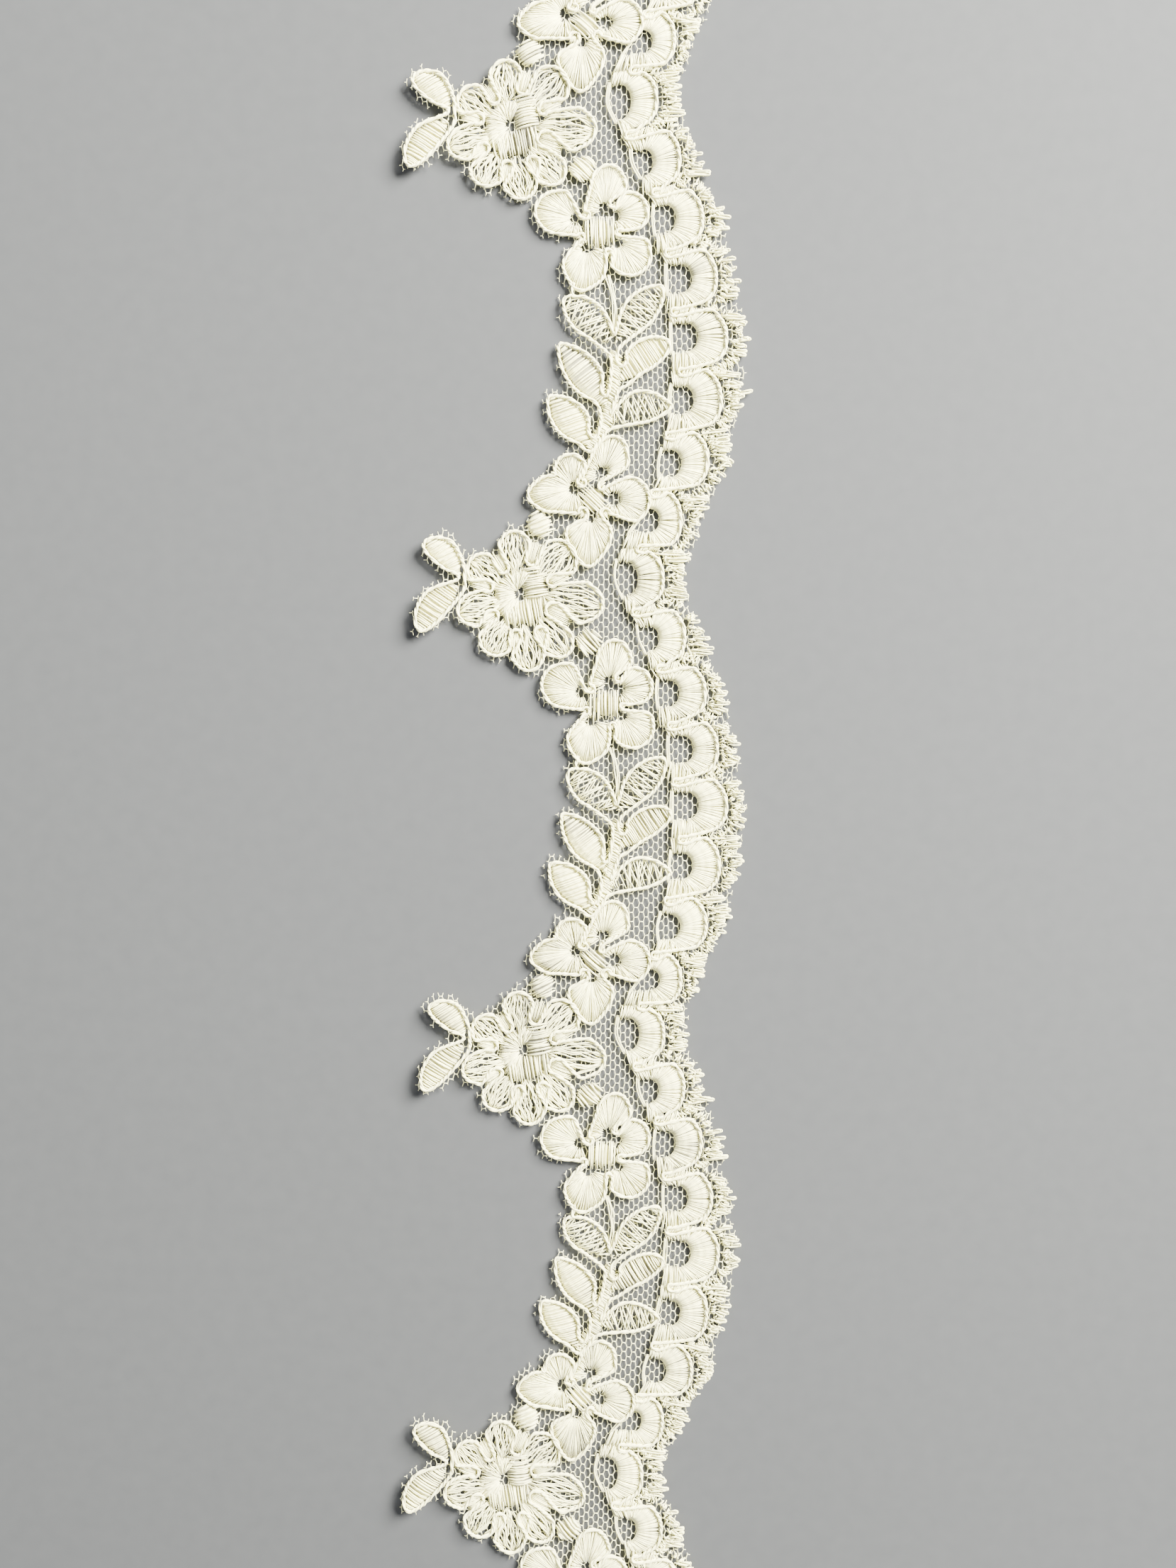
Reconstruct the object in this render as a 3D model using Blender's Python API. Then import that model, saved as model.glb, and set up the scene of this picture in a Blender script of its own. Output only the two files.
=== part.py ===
"""Corded lace edging, a cut length of about 0.36 m that lies flat on a table.

The edging is charted in millimetres: "across" runs from the leaf tips on the left to the fringe on the
right, and "along" runs up the length, with 0 at the eye of the second rose from the top. One repeat is
charted once, and place() lays every repeat on the table with the slow sideways drift of the real length.

Each motif is one raised solid. Its rim stands for the couched cord, and the satin stitches lie a little
lower inside it. The motifs lie on a thin sheet of net, and the fringe is a strip parted from the net.
"""

import math
from collections import namedtuple

import bmesh
import bpy
from mathutils import Vector
from mathutils.geometry import delaunay_2d_cdt

MM = 0.001

# Driving dimensions of the edging, in millimetres. SPINE is the line across which the length bends, and the
# origin is where the eye of the second rose lies when the middle of the whole piece is at 0, 0
REPEAT = 96.3
REPEATS = 4
TOP_CUT = 129.8
BOTTOM_CUT = -231.6
SPINE = 20.0
ORIGIN_X = -11.275
ORIGIN_Y = 51.068

# Thicknesses and heights, in millimetres. The lobes with the roses curl up off the table
NET_THICK = 1.0
GAP = 0.3
RIM_THICK = 1.0
SATIN_THICK = 0.6
FRINGE_THICK = 1.0
LOBE_LIFT = 1.5
LOBE_START = 4.0
LOBE_REACH = 26.0
LOBE_SHARE = 0.45

# Cords, satin and the net's margins, in millimetres
CORD_WIDE = 0.8
SATIN_INSET = 1.2
NET_MARGIN = 1.2
NET_PAST_BORDER = 0.1
NET_BAND_WIDE = 12.0
NET_BAND_PAST_HOLE = 1.5
NET_GRID = 7.0

# Scallops: how square their edge is, the angle where it meets the next one, and the lips round the satin
LOBE_SQUARE = 0.8
LOBE_END_DEG = 70.0
HOLE_ARC_DEG = (-80.0, -30.0, 30.0, 80.0)
SATIN_ARC_DEG = (65.0, 0.0, -65.0)
HOLE_LIP = 0.5
ARM_LAP = 0.5

# Fringe, in millimetres: how far its strip lies off the border, the strip, and the tufts' widths and lengths
FRINGE_OFF = 0.7
FRINGE_END_DEG = 57.0
STRIP_WIDE = 1.2
TUFTS_PER_SCALLOP = 5
TUFT_ROOT = 1.7
TUFT_TIP = 1.2
TUFT_LONG = 2.5
TUFT_EXTRA = (0.4, -0.3, 0.2, 0.7, -0.6, 0.3, -0.2, 0.5, 0.0)

# Points in the outlines: on a side of a petal, of its net and of its satin, round a disc, and on a scallop
PETAL_POINTS = 5
NET_PETAL_POINTS = 4
SATIN_POINTS = 2
DISC_POINTS = 10
LOBE_POINTS = 7
NET_LOBE_POINTS = 5
MERGE = 1e-5

# How far the laid length strays from a straight line
Stray = namedtuple("Stray", "along right up turn_deg")
STRAYS = (
    Stray(130.0, -1.8, 1.0, 3.0),
    Stray(96.0, -1.6, 0.8, 4.0),
    Stray(62.0, -0.8, 1.5, -1.0),
    Stray(30.0, 0.0, 1.1, 0.5),
    Stray(0.0, 0.0, 0.0, 0.0),
    Stray(-48.0, 0.0, 0.0, 0.0),
    Stray(-96.0, 0.5, -0.5, 1.5),
    Stray(-128.0, -0.7, -0.6, 0.0),
    Stray(-162.0, -2.3, 0.0, -5.0),
    Stray(-193.0, -4.0, -1.2, -4.3),
    Stray(-232.0, -6.0, -1.2, -3.0),
)

# A blade is a petal or a leaf: an outline on an axis from its base, widest at "belly" of its length.
# Its ends are round at 0.5 and pointed at 1.
Blade = namedtuple("Blade", "name across along bearing length width belly base_end tip_end bend")
ROSE = (
    Blade("right", 5.2, -0.4, -10, 13.2, 8.6, 0.55, 0.45, 0.45, 0.0),
    Blade("low_right", 3.8, -4.6, -56, 10.0, 6.4, 0.58, 0.50, 0.45, 0.0),
    Blade("bottom", 0.6, -5.8, -85, 10.4, 6.8, 0.55, 0.50, 0.45, 0.0),
    Blade("low_left", -2.4, -5.2, -118, 8.3, 6.8, 0.58, 0.50, 0.45, 0.0),
    Blade("left_low", -3.4, -1.6, -168, 9.2, 6.1, 0.55, 0.50, 0.45, 0.0),
    Blade("left_up", -3.8, 2.2, 141, 7.9, 6.1, 0.58, 0.50, 0.45, 0.0),
    Blade("top_left", -0.4, 4.6, 94, 8.5, 6.3, 0.58, 0.50, 0.45, 0.0),
    Blade("top_right", 3.8, 3.0, 43, 8.6, 7.4, 0.58, 0.50, 0.45, 0.0),
)
TAIL = (
    Blade("upper", -12.4, 3.4, 136, 10.0, 5.6, 0.58, 0.70, 0.50, -0.8),
    Blade("lower", -13.5, 1.3, -132, 11.4, 5.6, 0.52, 0.75, 0.55, 0.0),
)
FLOWER_A = (
    Blade("left", 16.2, -21.6, 155, 12.1, 8.6, 0.60, 0.60, 0.45, 0.0),
    Blade("top", 19.4, -20.0, 84, 10.4, 7.2, 0.60, 0.65, 0.48, 0.0),
    Blade("right_up", 20.0, -20.6, 18, 8.1, 6.9, 0.62, 0.65, 0.42, 0.0),
    Blade("right_low", 20.6, -24.2, -62, 9.7, 8.2, 0.60, 0.65, 0.42, 0.0),
    Blade("low_left", 16.0, -25.0, -103, 10.8, 8.7, 0.55, 0.65, 0.62, 0.0),
)
FLOWER_B = (
    Blade("left", 13.6, 20.8, -174, 12.2, 7.4, 0.55, 0.65, 0.62, 0.0),
    Blade("up_left", 11.8, 20.6, 105, 8.2, 7.2, 0.62, 0.70, 0.42, 0.0),
    Blade("top_right", 18.2, 21.2, 76, 9.9, 5.4, 0.62, 0.65, 0.50, 0.0),
    Blade("right", 18.0, 18.4, 4, 8.6, 8.0, 0.58, 0.60, 0.55, 0.0),
    Blade("bottom", 15.2, 17.0, -92, 11.0, 7.6, 0.60, 0.65, 0.45, 0.0),
)
SPRAY = (
    Blade("left_1", 20.6, -45.6, 140, 12.9, 6.9, 0.55, 0.70, 0.50, 0.0),
    Blade("left_2", 18.6, -58.8, 127, 15.4, 6.8, 0.55, 0.70, 0.55, 0.0),
    Blade("left_3", 15.4, -66.9, 131, 13.2, 6.9, 0.56, 0.75, 0.58, 0.0),
    Blade("right_1", 20.9, -45.8, 49, 14.6, 6.3, 0.58, 0.80, 0.48, 0.0),
    Blade("right_2", 20.4, -54.6, 42, 14.2, 6.9, 0.58, 0.70, 0.48, 0.0),
    Blade("right_3", 18.4, -62.6, 15, 13.3, 6.4, 0.52, 0.70, 0.65, 0.6),
)

# The stem of the leaf spray: its centre line and its width there
StemRow = namedtuple("StemRow", "across along width")
STEM = (
    StemRow(19.9, -36.6, 1.2),
    StemRow(20.8, -42.0, 1.5),
    StemRow(21.0, -48.0, 2.2),
    StemRow(20.2, -54.0, 2.4),
    StemRow(18.9, -60.0, 2.4),
    StemRow(17.0, -64.2, 2.2),
    StemRow(14.8, -67.0, 1.6),
)

# Round dots, and the round centres that hold the petals of a flower together
Disc = namedtuple("Disc", "across along radius")
DOTS = (Disc(4.1, 13.7, 2.4), Disc(14.4, -9.7, 2.4))
ROSE_CENTRE = Disc(0.6, -0.6, 6.6)
FLOWER_A_CENTRE = Disc(18.4, -22.6, 3.4)
FLOWER_B_CENTRE = Disc(15.6, 19.6, 3.4)
TAIL_CENTRE = Disc(-13.6, 2.2, 1.5)

# The scallops of the border, down one repeat: the middle of the net-filled hole, the furthest reach of the
# cord, the left ends of the arms above and below the hole, and the size of the hole
Scallop = namedtuple("Scallop", "across along reach arm_above arm_below hole_wide hole_high")
SCALLOPS = (
    Scallop(27.3, 14.3, 34.4, 28.4, 22.8, 4.4, 5.4),
    Scallop(22.6, 3.0, 30.8, 20.6, 22.0, 4.8, 7.2),
    Scallop(27.4, -9.4, 35.3, 24.8, 26.8, 4.2, 5.4),
    Scallop(31.4, -20.8, 39.7, 29.3, 29.4, 4.8, 5.8),
    Scallop(34.2, -32.7, 42.3, 31.5, 31.8, 5.4, 6.0),
    Scallop(35.2, -44.6, 44.3, 32.4, 32.4, 5.6, 6.0),
    Scallop(34.2, -57.4, 42.7, 32.2, 31.6, 5.0, 5.8),
    Scallop(31.6, -70.4, 39.8, 30.0, 29.4, 4.8, 5.6),
)
FIRST_SCALLOP = -1
LAST_SCALLOP = 28


def material(name, colour, roughness):
    made = bpy.data.materials.new(name)
    made.use_nodes = True
    shader = made.node_tree.nodes["Principled BSDF"]
    shader.inputs["Base Color"].default_value = (*colour, 1.0)
    shader.inputs["Roughness"].default_value = roughness
    shader.inputs["Metallic"].default_value = 0.0
    return made


def stray_at(along):
    """(right, up, turn) of the laid length at a place along it, eased between the rows of STRAYS."""
    above = max((row for row in STRAYS if row.along >= along), key=lambda row: -row.along, default=STRAYS[0])
    below = max((row for row in STRAYS if row.along <= along), key=lambda row: row.along, default=STRAYS[-1])
    span = above.along - below.along
    share = (along - below.along) / span if span else 0.0
    ease = share * share * (3.0 - 2.0 * share)
    right, up, turn = (low + (high - low) * ease for low, high in zip(below[1:], above[1:]))
    return right, up, math.radians(turn)


def lift(across, along):
    """How far the lace stands off the table: the lobes with the roses curl up at their left ends."""
    nearest = -REPEAT * max(-1, min(REPEATS - 2, round(-along / REPEAT)))
    out = max(0.0, LOBE_START - across) / LOBE_REACH
    beside = max(0.0, 1.0 - abs(along - nearest) / (LOBE_SHARE * REPEAT))
    return LOBE_LIFT * out * out * beside


def place(across, along):
    """(x, y, lift) on the table, in millimetres, of a point of the chart."""
    right, up, turn = stray_at(along)
    side = across - SPINE
    x = ORIGIN_X + SPINE + right + side * math.cos(turn)
    y = ORIGIN_Y + along + up + side * math.sin(turn)
    return x, y, lift(across, along)


def blade_outline(blade, grow, count):
    """The closed outline of a petal or leaf, grow wider all round, with count points a side."""
    length = blade.length + 2.0 * grow
    power = math.log(0.5) / math.log(blade.belly)
    bearing = math.radians(blade.bearing)
    along_axis = Vector((math.cos(bearing), math.sin(bearing)))
    to_left = Vector((-along_axis.y, along_axis.x))
    start = Vector((blade.across, blade.along)) - along_axis * grow
    sides = ([], [])
    for step in range(1, count + 1):
        s = 0.5 - 0.5 * math.cos(math.pi * step / (count + 1))
        roundness = blade.base_end + (blade.tip_end - blade.base_end) * s
        half = (0.5 * blade.width + grow) * math.sin(math.pi * s**power) ** roundness
        middle = start + along_axis * (length * s) + to_left * (blade.bend * 4.0 * s * (1.0 - s))
        sides[0].append(middle + to_left * half)
        sides[1].append(middle - to_left * half)
    tip = start + along_axis * length
    return [start, *sides[1], tip, *reversed(sides[0])]


def disc_outline(disc, grow):
    turns = [2.0 * math.pi * (step + 0.3) / DISC_POINTS for step in range(DISC_POINTS)]
    radius = disc.radius + grow
    return [Vector((disc.across + radius * math.cos(t), disc.along + radius * math.sin(t))) for t in turns]


def scallop_at(number):
    """A scallop of the border, counted from the first one of the top repeat."""
    row = SCALLOPS[number % len(SCALLOPS)]
    return row._replace(along=row.along + REPEAT * (1 - number // len(SCALLOPS)))


def notch_between(first, second):
    return 0.5 * (first.along + second.along)


def lobe_sizes(number, grow):
    """(middle along, half height, width) of the outer edge of a scallop, which is a squarish half round."""
    here = scallop_at(number)
    top = notch_between(scallop_at(number - 1), here)
    bottom = notch_between(here, scallop_at(number + 1))
    wide = here.reach - here.across + 0.5 * CORD_WIDE + grow
    return 0.5 * (top + bottom), 0.5 * (top - bottom) + grow, wide


def lobe_edge(number, grow, end_deg, count):
    """Points round the outer edge of a scallop, clockwise from end_deg above its middle to end_deg below."""
    middle, high, wide = lobe_sizes(number, grow)
    points = []
    for step in range(count):
        turn = math.radians(end_deg - 2.0 * end_deg * step / (count - 1))
        out = wide * math.cos(turn) ** LOBE_SQUARE
        side = high * math.copysign(abs(math.sin(turn)) ** LOBE_SQUARE, math.sin(turn))
        points.append(Vector((scallop_at(number).across + out, middle + side)))
    return points


def fringe_line(along):
    """The line through the furthest points of the scallops, which the fringe follows."""
    number = FIRST_SCALLOP
    while number < LAST_SCALLOP - 1 and scallop_at(number + 1).along > along:
        number += 1
    above, below = scallop_at(number), scallop_at(number + 1)
    share = (above.along - along) / (above.along - below.along)
    return above.reach + (below.reach - above.reach) * min(1.0, max(0.0, share)) + 0.5 * CORD_WIDE


def scallop_outline(number):
    """The closed C of one scallop: round the lobe, back along the lower arm, and round the hole."""
    here = scallop_at(number)
    lobe = lobe_edge(number, 0.0, LOBE_END_DEG, LOBE_POINTS)
    hole = []
    for turn_deg in HOLE_ARC_DEG:
        turn = math.radians(turn_deg)
        across = here.across + 0.5 * here.hole_wide * math.cos(turn)
        hole.append(Vector((across, here.along + 0.5 * here.hole_high * math.sin(turn))))
    low_arm = [Vector((here.arm_below, lobe[-1].y - ARM_LAP)), Vector((here.arm_below, hole[0].y))]
    high_arm = [Vector((here.arm_above, hole[-1].y)), Vector((here.arm_above, lobe[0].y + ARM_LAP))]
    return lobe + low_arm + hole + high_arm


def scallop_satin(number):
    """The satin of one scallop, a bent band between the lip of its hole and the cord."""
    here = scallop_at(number)
    middle, high, wide = lobe_sizes(number, -SATIN_INSET)
    outer, inner = [], []
    for turn_deg in SATIN_ARC_DEG:
        turn = math.radians(turn_deg)
        cosine, sine = math.cos(turn), math.sin(turn)
        outer.append(Vector((here.across + wide * cosine, middle + high * sine)))
        inner.append(Vector((
            here.across + (0.5 * here.hole_wide + HOLE_LIP) * cosine,
            here.along + (0.5 * here.hole_high + HOLE_LIP) * sine,
        )))
    return outer + inner[::-1]


def numbered(outlines):
    """Each outline as the numbers of its points, when the points of all of them are put in one list."""
    groups, start = [], 0
    for outline in outlines:
        groups.append(list(range(start, start + len(outline))))
        start += len(outline)
    return groups


def triangulate(outlines, loose=()):
    """(points, triangles, sources) of the union of closed outlines. A crossing of two outlines has no source."""
    points = [point for outline in outlines for point in outline] + list(loose)
    found = delaunay_2d_cdt(points, [], numbered(outlines), 1, MERGE)
    return found[0], [tuple(face) for face in found[2]], found[3]


def rim_loops(triangles):
    """The closed loops of point numbers round a set of triangles, anticlockwise."""
    sides = {(triangle[i], triangle[(i + 1) % 3]) for triangle in triangles for i in range(3)}
    ahead = {a: b for a, b in sides if (b, a) not in sides}
    loops = []
    while ahead:
        loop = [min(ahead)]
        while loop[-1] in ahead:
            loop.append(ahead.pop(loop[-1]))
        loops.append(loop[:-1])
    return loops


def outer_outline(outlines):
    """The outline of the union of closed outlines."""
    points, triangles, _ = triangulate(outlines)
    loop = max(rim_loops(triangles), key=len)
    return [points[i] for i in loop]


def placed_vertex(mesh, point, height):
    x, y, up = place(point.x, point.y)
    return mesh.verts.new((x * MM, y * MM, (up + height) * MM))


def finish(name, mesh, look):
    data = bpy.data.meshes.new(name)
    mesh.to_mesh(data)
    mesh.free()
    data.materials.append(look)
    made = bpy.data.objects.new(name, data)
    bpy.context.scene.collection.objects.link(made)
    return made


def relief(name, outlines, sunken, look):
    """One closed solid over the union of the outlines, on the net: its top is at the height of the cord, and
    sinks to the height of the satin along the sunken outlines."""
    points, triangles, sources = triangulate(outlines + sunken)
    rim_points = sum(len(outline) for outline in outlines)
    loops = rim_loops(triangles)
    if len(loops) != 1:
        raise ValueError(f"{name} has {len(loops)} outlines")
    edge = loops[0]
    under, under_triangles, _ = triangulate([[points[i] for i in edge]])
    if len(under) != len(edge):
        raise ValueError(f"{name}: its outline touches itself")
    bottom = NET_THICK + GAP
    mesh = bmesh.new()
    tops = []
    for point, source in zip(points, sources):
        at_satin = source and min(source) >= rim_points
        tops.append(placed_vertex(mesh, point, bottom + (SATIN_THICK if at_satin else RIM_THICK)))
    bottoms = [placed_vertex(mesh, points[i], bottom) for i in edge]
    for triangle in triangles:
        mesh.faces.new([tops[i] for i in triangle])
    for triangle in under_triangles:
        mesh.faces.new([bottoms[i] for i in reversed(triangle)])
    for i, (a, b) in enumerate(zip(edge, edge[1:] + edge[:1])):
        mesh.faces.new((tops[b], tops[a], bottoms[i], bottoms[(i + 1) % len(edge)]))
    return finish(name, mesh, look)


def sheet(name, outline, thick, look, loose=()):
    """One closed flat solid on the table over one outline, with loose points inside where it has to bend."""
    points, triangles, _ = triangulate([outline], loose)
    loops = rim_loops(triangles)
    if len(loops) != 1:
        raise ValueError(f"{name} has {len(loops)} outlines")
    used = sorted({i for triangle in triangles for i in triangle})
    mesh = bmesh.new()
    tops = {i: placed_vertex(mesh, points[i], thick) for i in used}
    bottoms = {i: placed_vertex(mesh, points[i], 0.0) for i in used}
    for triangle in triangles:
        mesh.faces.new([tops[i] for i in triangle])
        mesh.faces.new([bottoms[i] for i in reversed(triangle)])
    for a, b in zip(loops[0], loops[0][1:] + loops[0][:1]):
        mesh.faces.new((tops[b], tops[a], bottoms[a], bottoms[b]))
    return finish(name, mesh, look)


def shifted(row, number):
    """A row of a table, moved to its place in a repeat. The repeats are counted from 0 at the top."""
    return row._replace(along=row.along + REPEAT * (1 - number))


def flower(name, blades, centre, number, look):
    """A flower or a pair of leaves: petals that overlap at a round centre, each with a sunken satin middle."""
    blades = [shifted(blade, number) for blade in blades]
    outlines = [blade_outline(blade, 0.5 * CORD_WIDE, PETAL_POINTS) for blade in blades]
    outlines.append(disc_outline(shifted(centre, number), 0.0))
    sunken = [blade_outline(blade, -SATIN_INSET, SATIN_POINTS) for blade in blades]
    return relief(name, outlines, sunken, look)


def leaf_spray(name, number, look):
    stem = [shifted(row, number) for row in STEM]
    left = [Vector((row.across - 0.5 * row.width, row.along)) for row in stem]
    right = [Vector((row.across + 0.5 * row.width, row.along)) for row in stem]
    blades = [shifted(blade, number) for blade in SPRAY]
    outlines = [blade_outline(blade, 0.5 * CORD_WIDE, PETAL_POINTS) for blade in blades]
    outlines.append(left + right[::-1])
    sunken = [blade_outline(blade, -SATIN_INSET, SATIN_POINTS) for blade in blades]
    return relief(name, outlines, sunken, look)


def dot(name, row, number, look):
    disc = shifted(row, number)
    return relief(name, [disc_outline(disc, 0.0)], [disc_outline(disc, -SATIN_INSET)], look)


def border(look):
    numbers = range(FIRST_SCALLOP, LAST_SCALLOP + 1)
    outlines = [scallop_outline(number) for number in numbers]
    return relief("scallop_border", outlines, [scallop_satin(number) for number in numbers], look)


def net_band():
    """The band of net up the middle, which the border and the leaf sprays lie on, cut straight at both ends."""
    left, right = [], []
    for number in range(FIRST_SCALLOP, LAST_SCALLOP + 1):
        here = scallop_at(number)
        along = {FIRST_SCALLOP: TOP_CUT, LAST_SCALLOP: BOTTOM_CUT}.get(number, here.along)
        left.append(Vector((here.across - NET_BAND_WIDE, along)))
        right.append(Vector((here.across + NET_BAND_PAST_HOLE, along)))
    return left + right[::-1]


def net_ground(look):
    """The strip of net: a band up the middle, and a margin round every motif."""
    outlines, loose = [net_band()], []
    for number in range(REPEATS):
        blades = [*ROSE, *TAIL, *FLOWER_A, *FLOWER_B, *(SPRAY if number < REPEATS - 1 else ())]
        for blade in blades:
            outlines.append(blade_outline(shifted(blade, number), 0.5 * CORD_WIDE + NET_MARGIN, NET_PETAL_POINTS))
        for disc in (*DOTS, ROSE_CENTRE):
            outlines.append(disc_outline(shifted(disc, number), NET_MARGIN))
        for row in range(-2, 4):
            for column in range(4):
                along = REPEAT * (1 - number) + NET_GRID * (row - 0.5)
                loose.append(Vector((NET_GRID * (0.5 - column), along)))
    for number in range(FIRST_SCALLOP, LAST_SCALLOP + 1):
        lobe = lobe_edge(number, NET_PAST_BORDER, LOBE_END_DEG, NET_LOBE_POINTS)
        across = scallop_at(number).across
        outlines.append([*lobe, Vector((across, lobe[-1].y)), Vector((across, lobe[0].y))])
    return sheet("net_ground", outer_outline(outlines), NET_THICK, look, loose)


def fringe(look):
    """The strip outside the border with its tufts, which lies on the table a little off the net's edge."""
    inside, outside = [], []
    for number in range(FIRST_SCALLOP, LAST_SCALLOP + 1):
        inside += lobe_edge(number, FRINGE_OFF, FRINGE_END_DEG, NET_LOBE_POINTS)
    top, bottom = inside[0].y, inside[-1].y
    tufts = TUFTS_PER_SCALLOP * (LAST_SCALLOP - FIRST_SCALLOP + 1)
    pitch = (top - bottom) / tufts
    for number in range(tufts):
        along = top - pitch * (number + 0.5)
        root = FRINGE_OFF + STRIP_WIDE
        tip = root + TUFT_LONG + TUFT_EXTRA[number % len(TUFT_EXTRA)]
        for up, out in ((TUFT_ROOT, root), (TUFT_TIP, tip), (-TUFT_TIP, tip), (-TUFT_ROOT, root)):
            outside.append(Vector((fringe_line(along + 0.5 * up) + out, along + 0.5 * up)))
    return sheet("fringe", inside + outside[::-1], FRINGE_THICK, look)


def clear_scene():
    for item in list(bpy.data.objects):
        bpy.data.objects.remove(item, do_unlink=True)


def main():
    clear_scene()
    net_look = material("net", (0.80, 0.78, 0.68), 0.85)
    satin_look = material("satin_stitch", (0.84, 0.81, 0.71), 0.55)
    net_ground(net_look)
    fringe(satin_look)
    border(satin_look)
    for number in range(REPEATS):
        label = number + 1
        flower(f"rose_{label}", ROSE, ROSE_CENTRE, number, satin_look)
        flower(f"rose_leaves_{label}", TAIL, TAIL_CENTRE, number, satin_look)
        flower(f"flower_low_{label}", FLOWER_A, FLOWER_A_CENTRE, number, satin_look)
        flower(f"flower_high_{label}", FLOWER_B, FLOWER_B_CENTRE, number, satin_look)
        dot(f"dot_high_{label}", DOTS[0], number, satin_look)
        dot(f"dot_low_{label}", DOTS[1], number, satin_look)
        if number < REPEATS - 1:
            leaf_spray(f"leaf_spray_{label}", number, satin_look)


main()
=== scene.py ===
"""Dresses the corded lace edging in its threads: hexagonal net, satin stitches, couched cords and fringe.

Everything is charted in millimetres, as the solids are: "across" runs from the leaf tips on the left to the
fringe on the right, and "along" runs up the length, with 0 at the eye of the second rose from the top. One
repeat is charted once, place() lays it on the table, and every thread is a thin closed tube.
"""

import math
from collections import namedtuple

import bpy
import numpy as np
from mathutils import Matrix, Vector


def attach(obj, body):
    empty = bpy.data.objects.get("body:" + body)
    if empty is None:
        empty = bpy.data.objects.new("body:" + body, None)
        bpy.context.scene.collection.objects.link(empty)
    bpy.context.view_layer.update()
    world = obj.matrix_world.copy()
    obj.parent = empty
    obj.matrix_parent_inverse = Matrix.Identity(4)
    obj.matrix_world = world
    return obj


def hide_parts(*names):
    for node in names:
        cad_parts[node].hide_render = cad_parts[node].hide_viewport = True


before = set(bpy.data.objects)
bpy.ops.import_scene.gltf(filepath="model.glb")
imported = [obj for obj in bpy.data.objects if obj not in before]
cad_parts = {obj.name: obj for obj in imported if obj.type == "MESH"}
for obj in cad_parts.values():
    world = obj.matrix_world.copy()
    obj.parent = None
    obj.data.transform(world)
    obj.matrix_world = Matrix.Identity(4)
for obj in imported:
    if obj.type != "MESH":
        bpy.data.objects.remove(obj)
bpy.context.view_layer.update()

MM = 0.001

# Driving dimensions of the edging, in millimetres, as in the solids
REPEAT = 96.3
REPEATS = 4
TOP_CUT = 129.8
BOTTOM_CUT = -231.6
SPINE = 20.0
ORIGIN = np.array((-11.275, 51.068))
LOBE_LIFT = 1.5
LOBE_START = 4.0
LOBE_REACH = 26.0
LOBE_SHARE = 0.45
CORD_WIDE = 0.8
LOBE_SQUARE = 0.8
LOBE_TOP_LIFT = 0.9

# Heights over the table, in millimetres
NET_HIGH = 0.55
PAD_LOW = 0.66
PAD_HIGH = 0.88
SATIN_LOW = 0.92
SATIN_EDGE = 1.12
SATIN_HIGH = 1.34
WAVY_RISE = 0.3
LOOP_HIGH = 1.25
ARM_HIGH = 1.3
RING_HIGH = 1.35
HAIRPIN_HIGH = 1.4
DOT_HIGH = 1.45
FINE_HIGH = 1.0
CORD_HIGH = 1.46
FRINGE_HIGH = 0.85
FRINGE_LAYER = 0.35

# The net: its pitch across and along, how far its side threads zigzag, and its thread
NET_ACROSS = 1.05
NET_ALONG = 0.99
NET_ZIGZAG = 0.14
NET_THREAD = 0.115
NET_BAR = 0.105
NET_STRAY = 0.05
NET_MARGIN = 1.15
NET_CUT_SHARE = 0.4
NET_BAND_WIDE = 12.0
NET_PAST_FRINGE = 3.9
NET_EDGE_STEP = 5.5
NET_COLUMNS = (-24, 50)

# Stitches, in millimetres: PITCH is the step from one to the next, and THREAD is the radius of one
SATIN_PITCH = 0.37
SATIN_THREAD = 0.155
SATIN_UNDER_CORD = 0.25
SATIN_TURN_DEG = 84.0
SCALLOP_STITCHES = 60
FAN_STEP = 0.2
FAN_GAPS = (1.25, 2.6, 1.7, 3.4)
FAN_PAD = 1.55
LOOP_PITCH = 0.3
LOOP_THREAD = 0.17
WAVY_THREADS = 20
WAVY_POINTS = 8
WAVY_LEAN = 0.36
WAVY_SWAY = 0.26
WAVY_THREAD = 0.16
BLOCK_THREAD = 0.24
RING_THREAD = 0.18
RING_GAPS = (1.0, 2.4)
RING_RADIUS = 5.7
RING_PAD = (1.5, 5.6)
DOT_PITCH = 0.48
DOT_THREAD = 0.26
STEM_PITCH = 0.34
STEM_THREAD = 0.2
STEM_SLANT = (0.5, -0.32)
ARM_PITCH = 0.28
ARM_THREAD = 0.18
HAIRPIN_PITCH = 0.34

# How uneven the radius of the threads is, and their tones down to the darkest thread; the padding's tone
# lies lower still, a painted shade that shows in the gaps between the stitches
THREAD_UNEVEN = 0.14
TONE_SPREAD = 0.55
DARKEST_TONE = -0.45
PAD_SHADE_TONE = -1.0

# The cord: the radius of its two strands, how far each is from the middle, and the length of one twist. The
# twist and the height vary slowly along it.
CORD_STRAND = 0.24
CORD_SPREAD = 0.185
CORD_TWIST = 3.3
CORD_STEP = 0.42
CORD_SIDES = 6
CORD_ROLL = 1.3
CORD_ROLL_LONG = 9.1
CORD_BOB = 0.03
CORD_BOB_LONG = 7.3

# How far past a petal's belly its cord leaves the loop between two petals, as a share of its length
PETAL_LEAVES = -0.05
ROSE_LEAVES = 0.08

# The fringe: the pitch of its pairs of tufts, how far they reach, and its threads
TUFT_PITCH = 0.85
TUFT_SECOND = 0.4
TUFT_REACH = 3.9
TUFT_ROUND = 1.3
TUFT_SHORTER = 0.8
TUFT_THREAD = 0.215
SHORT_STITCHES = 80
SHORT_THREAD = 0.185

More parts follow.
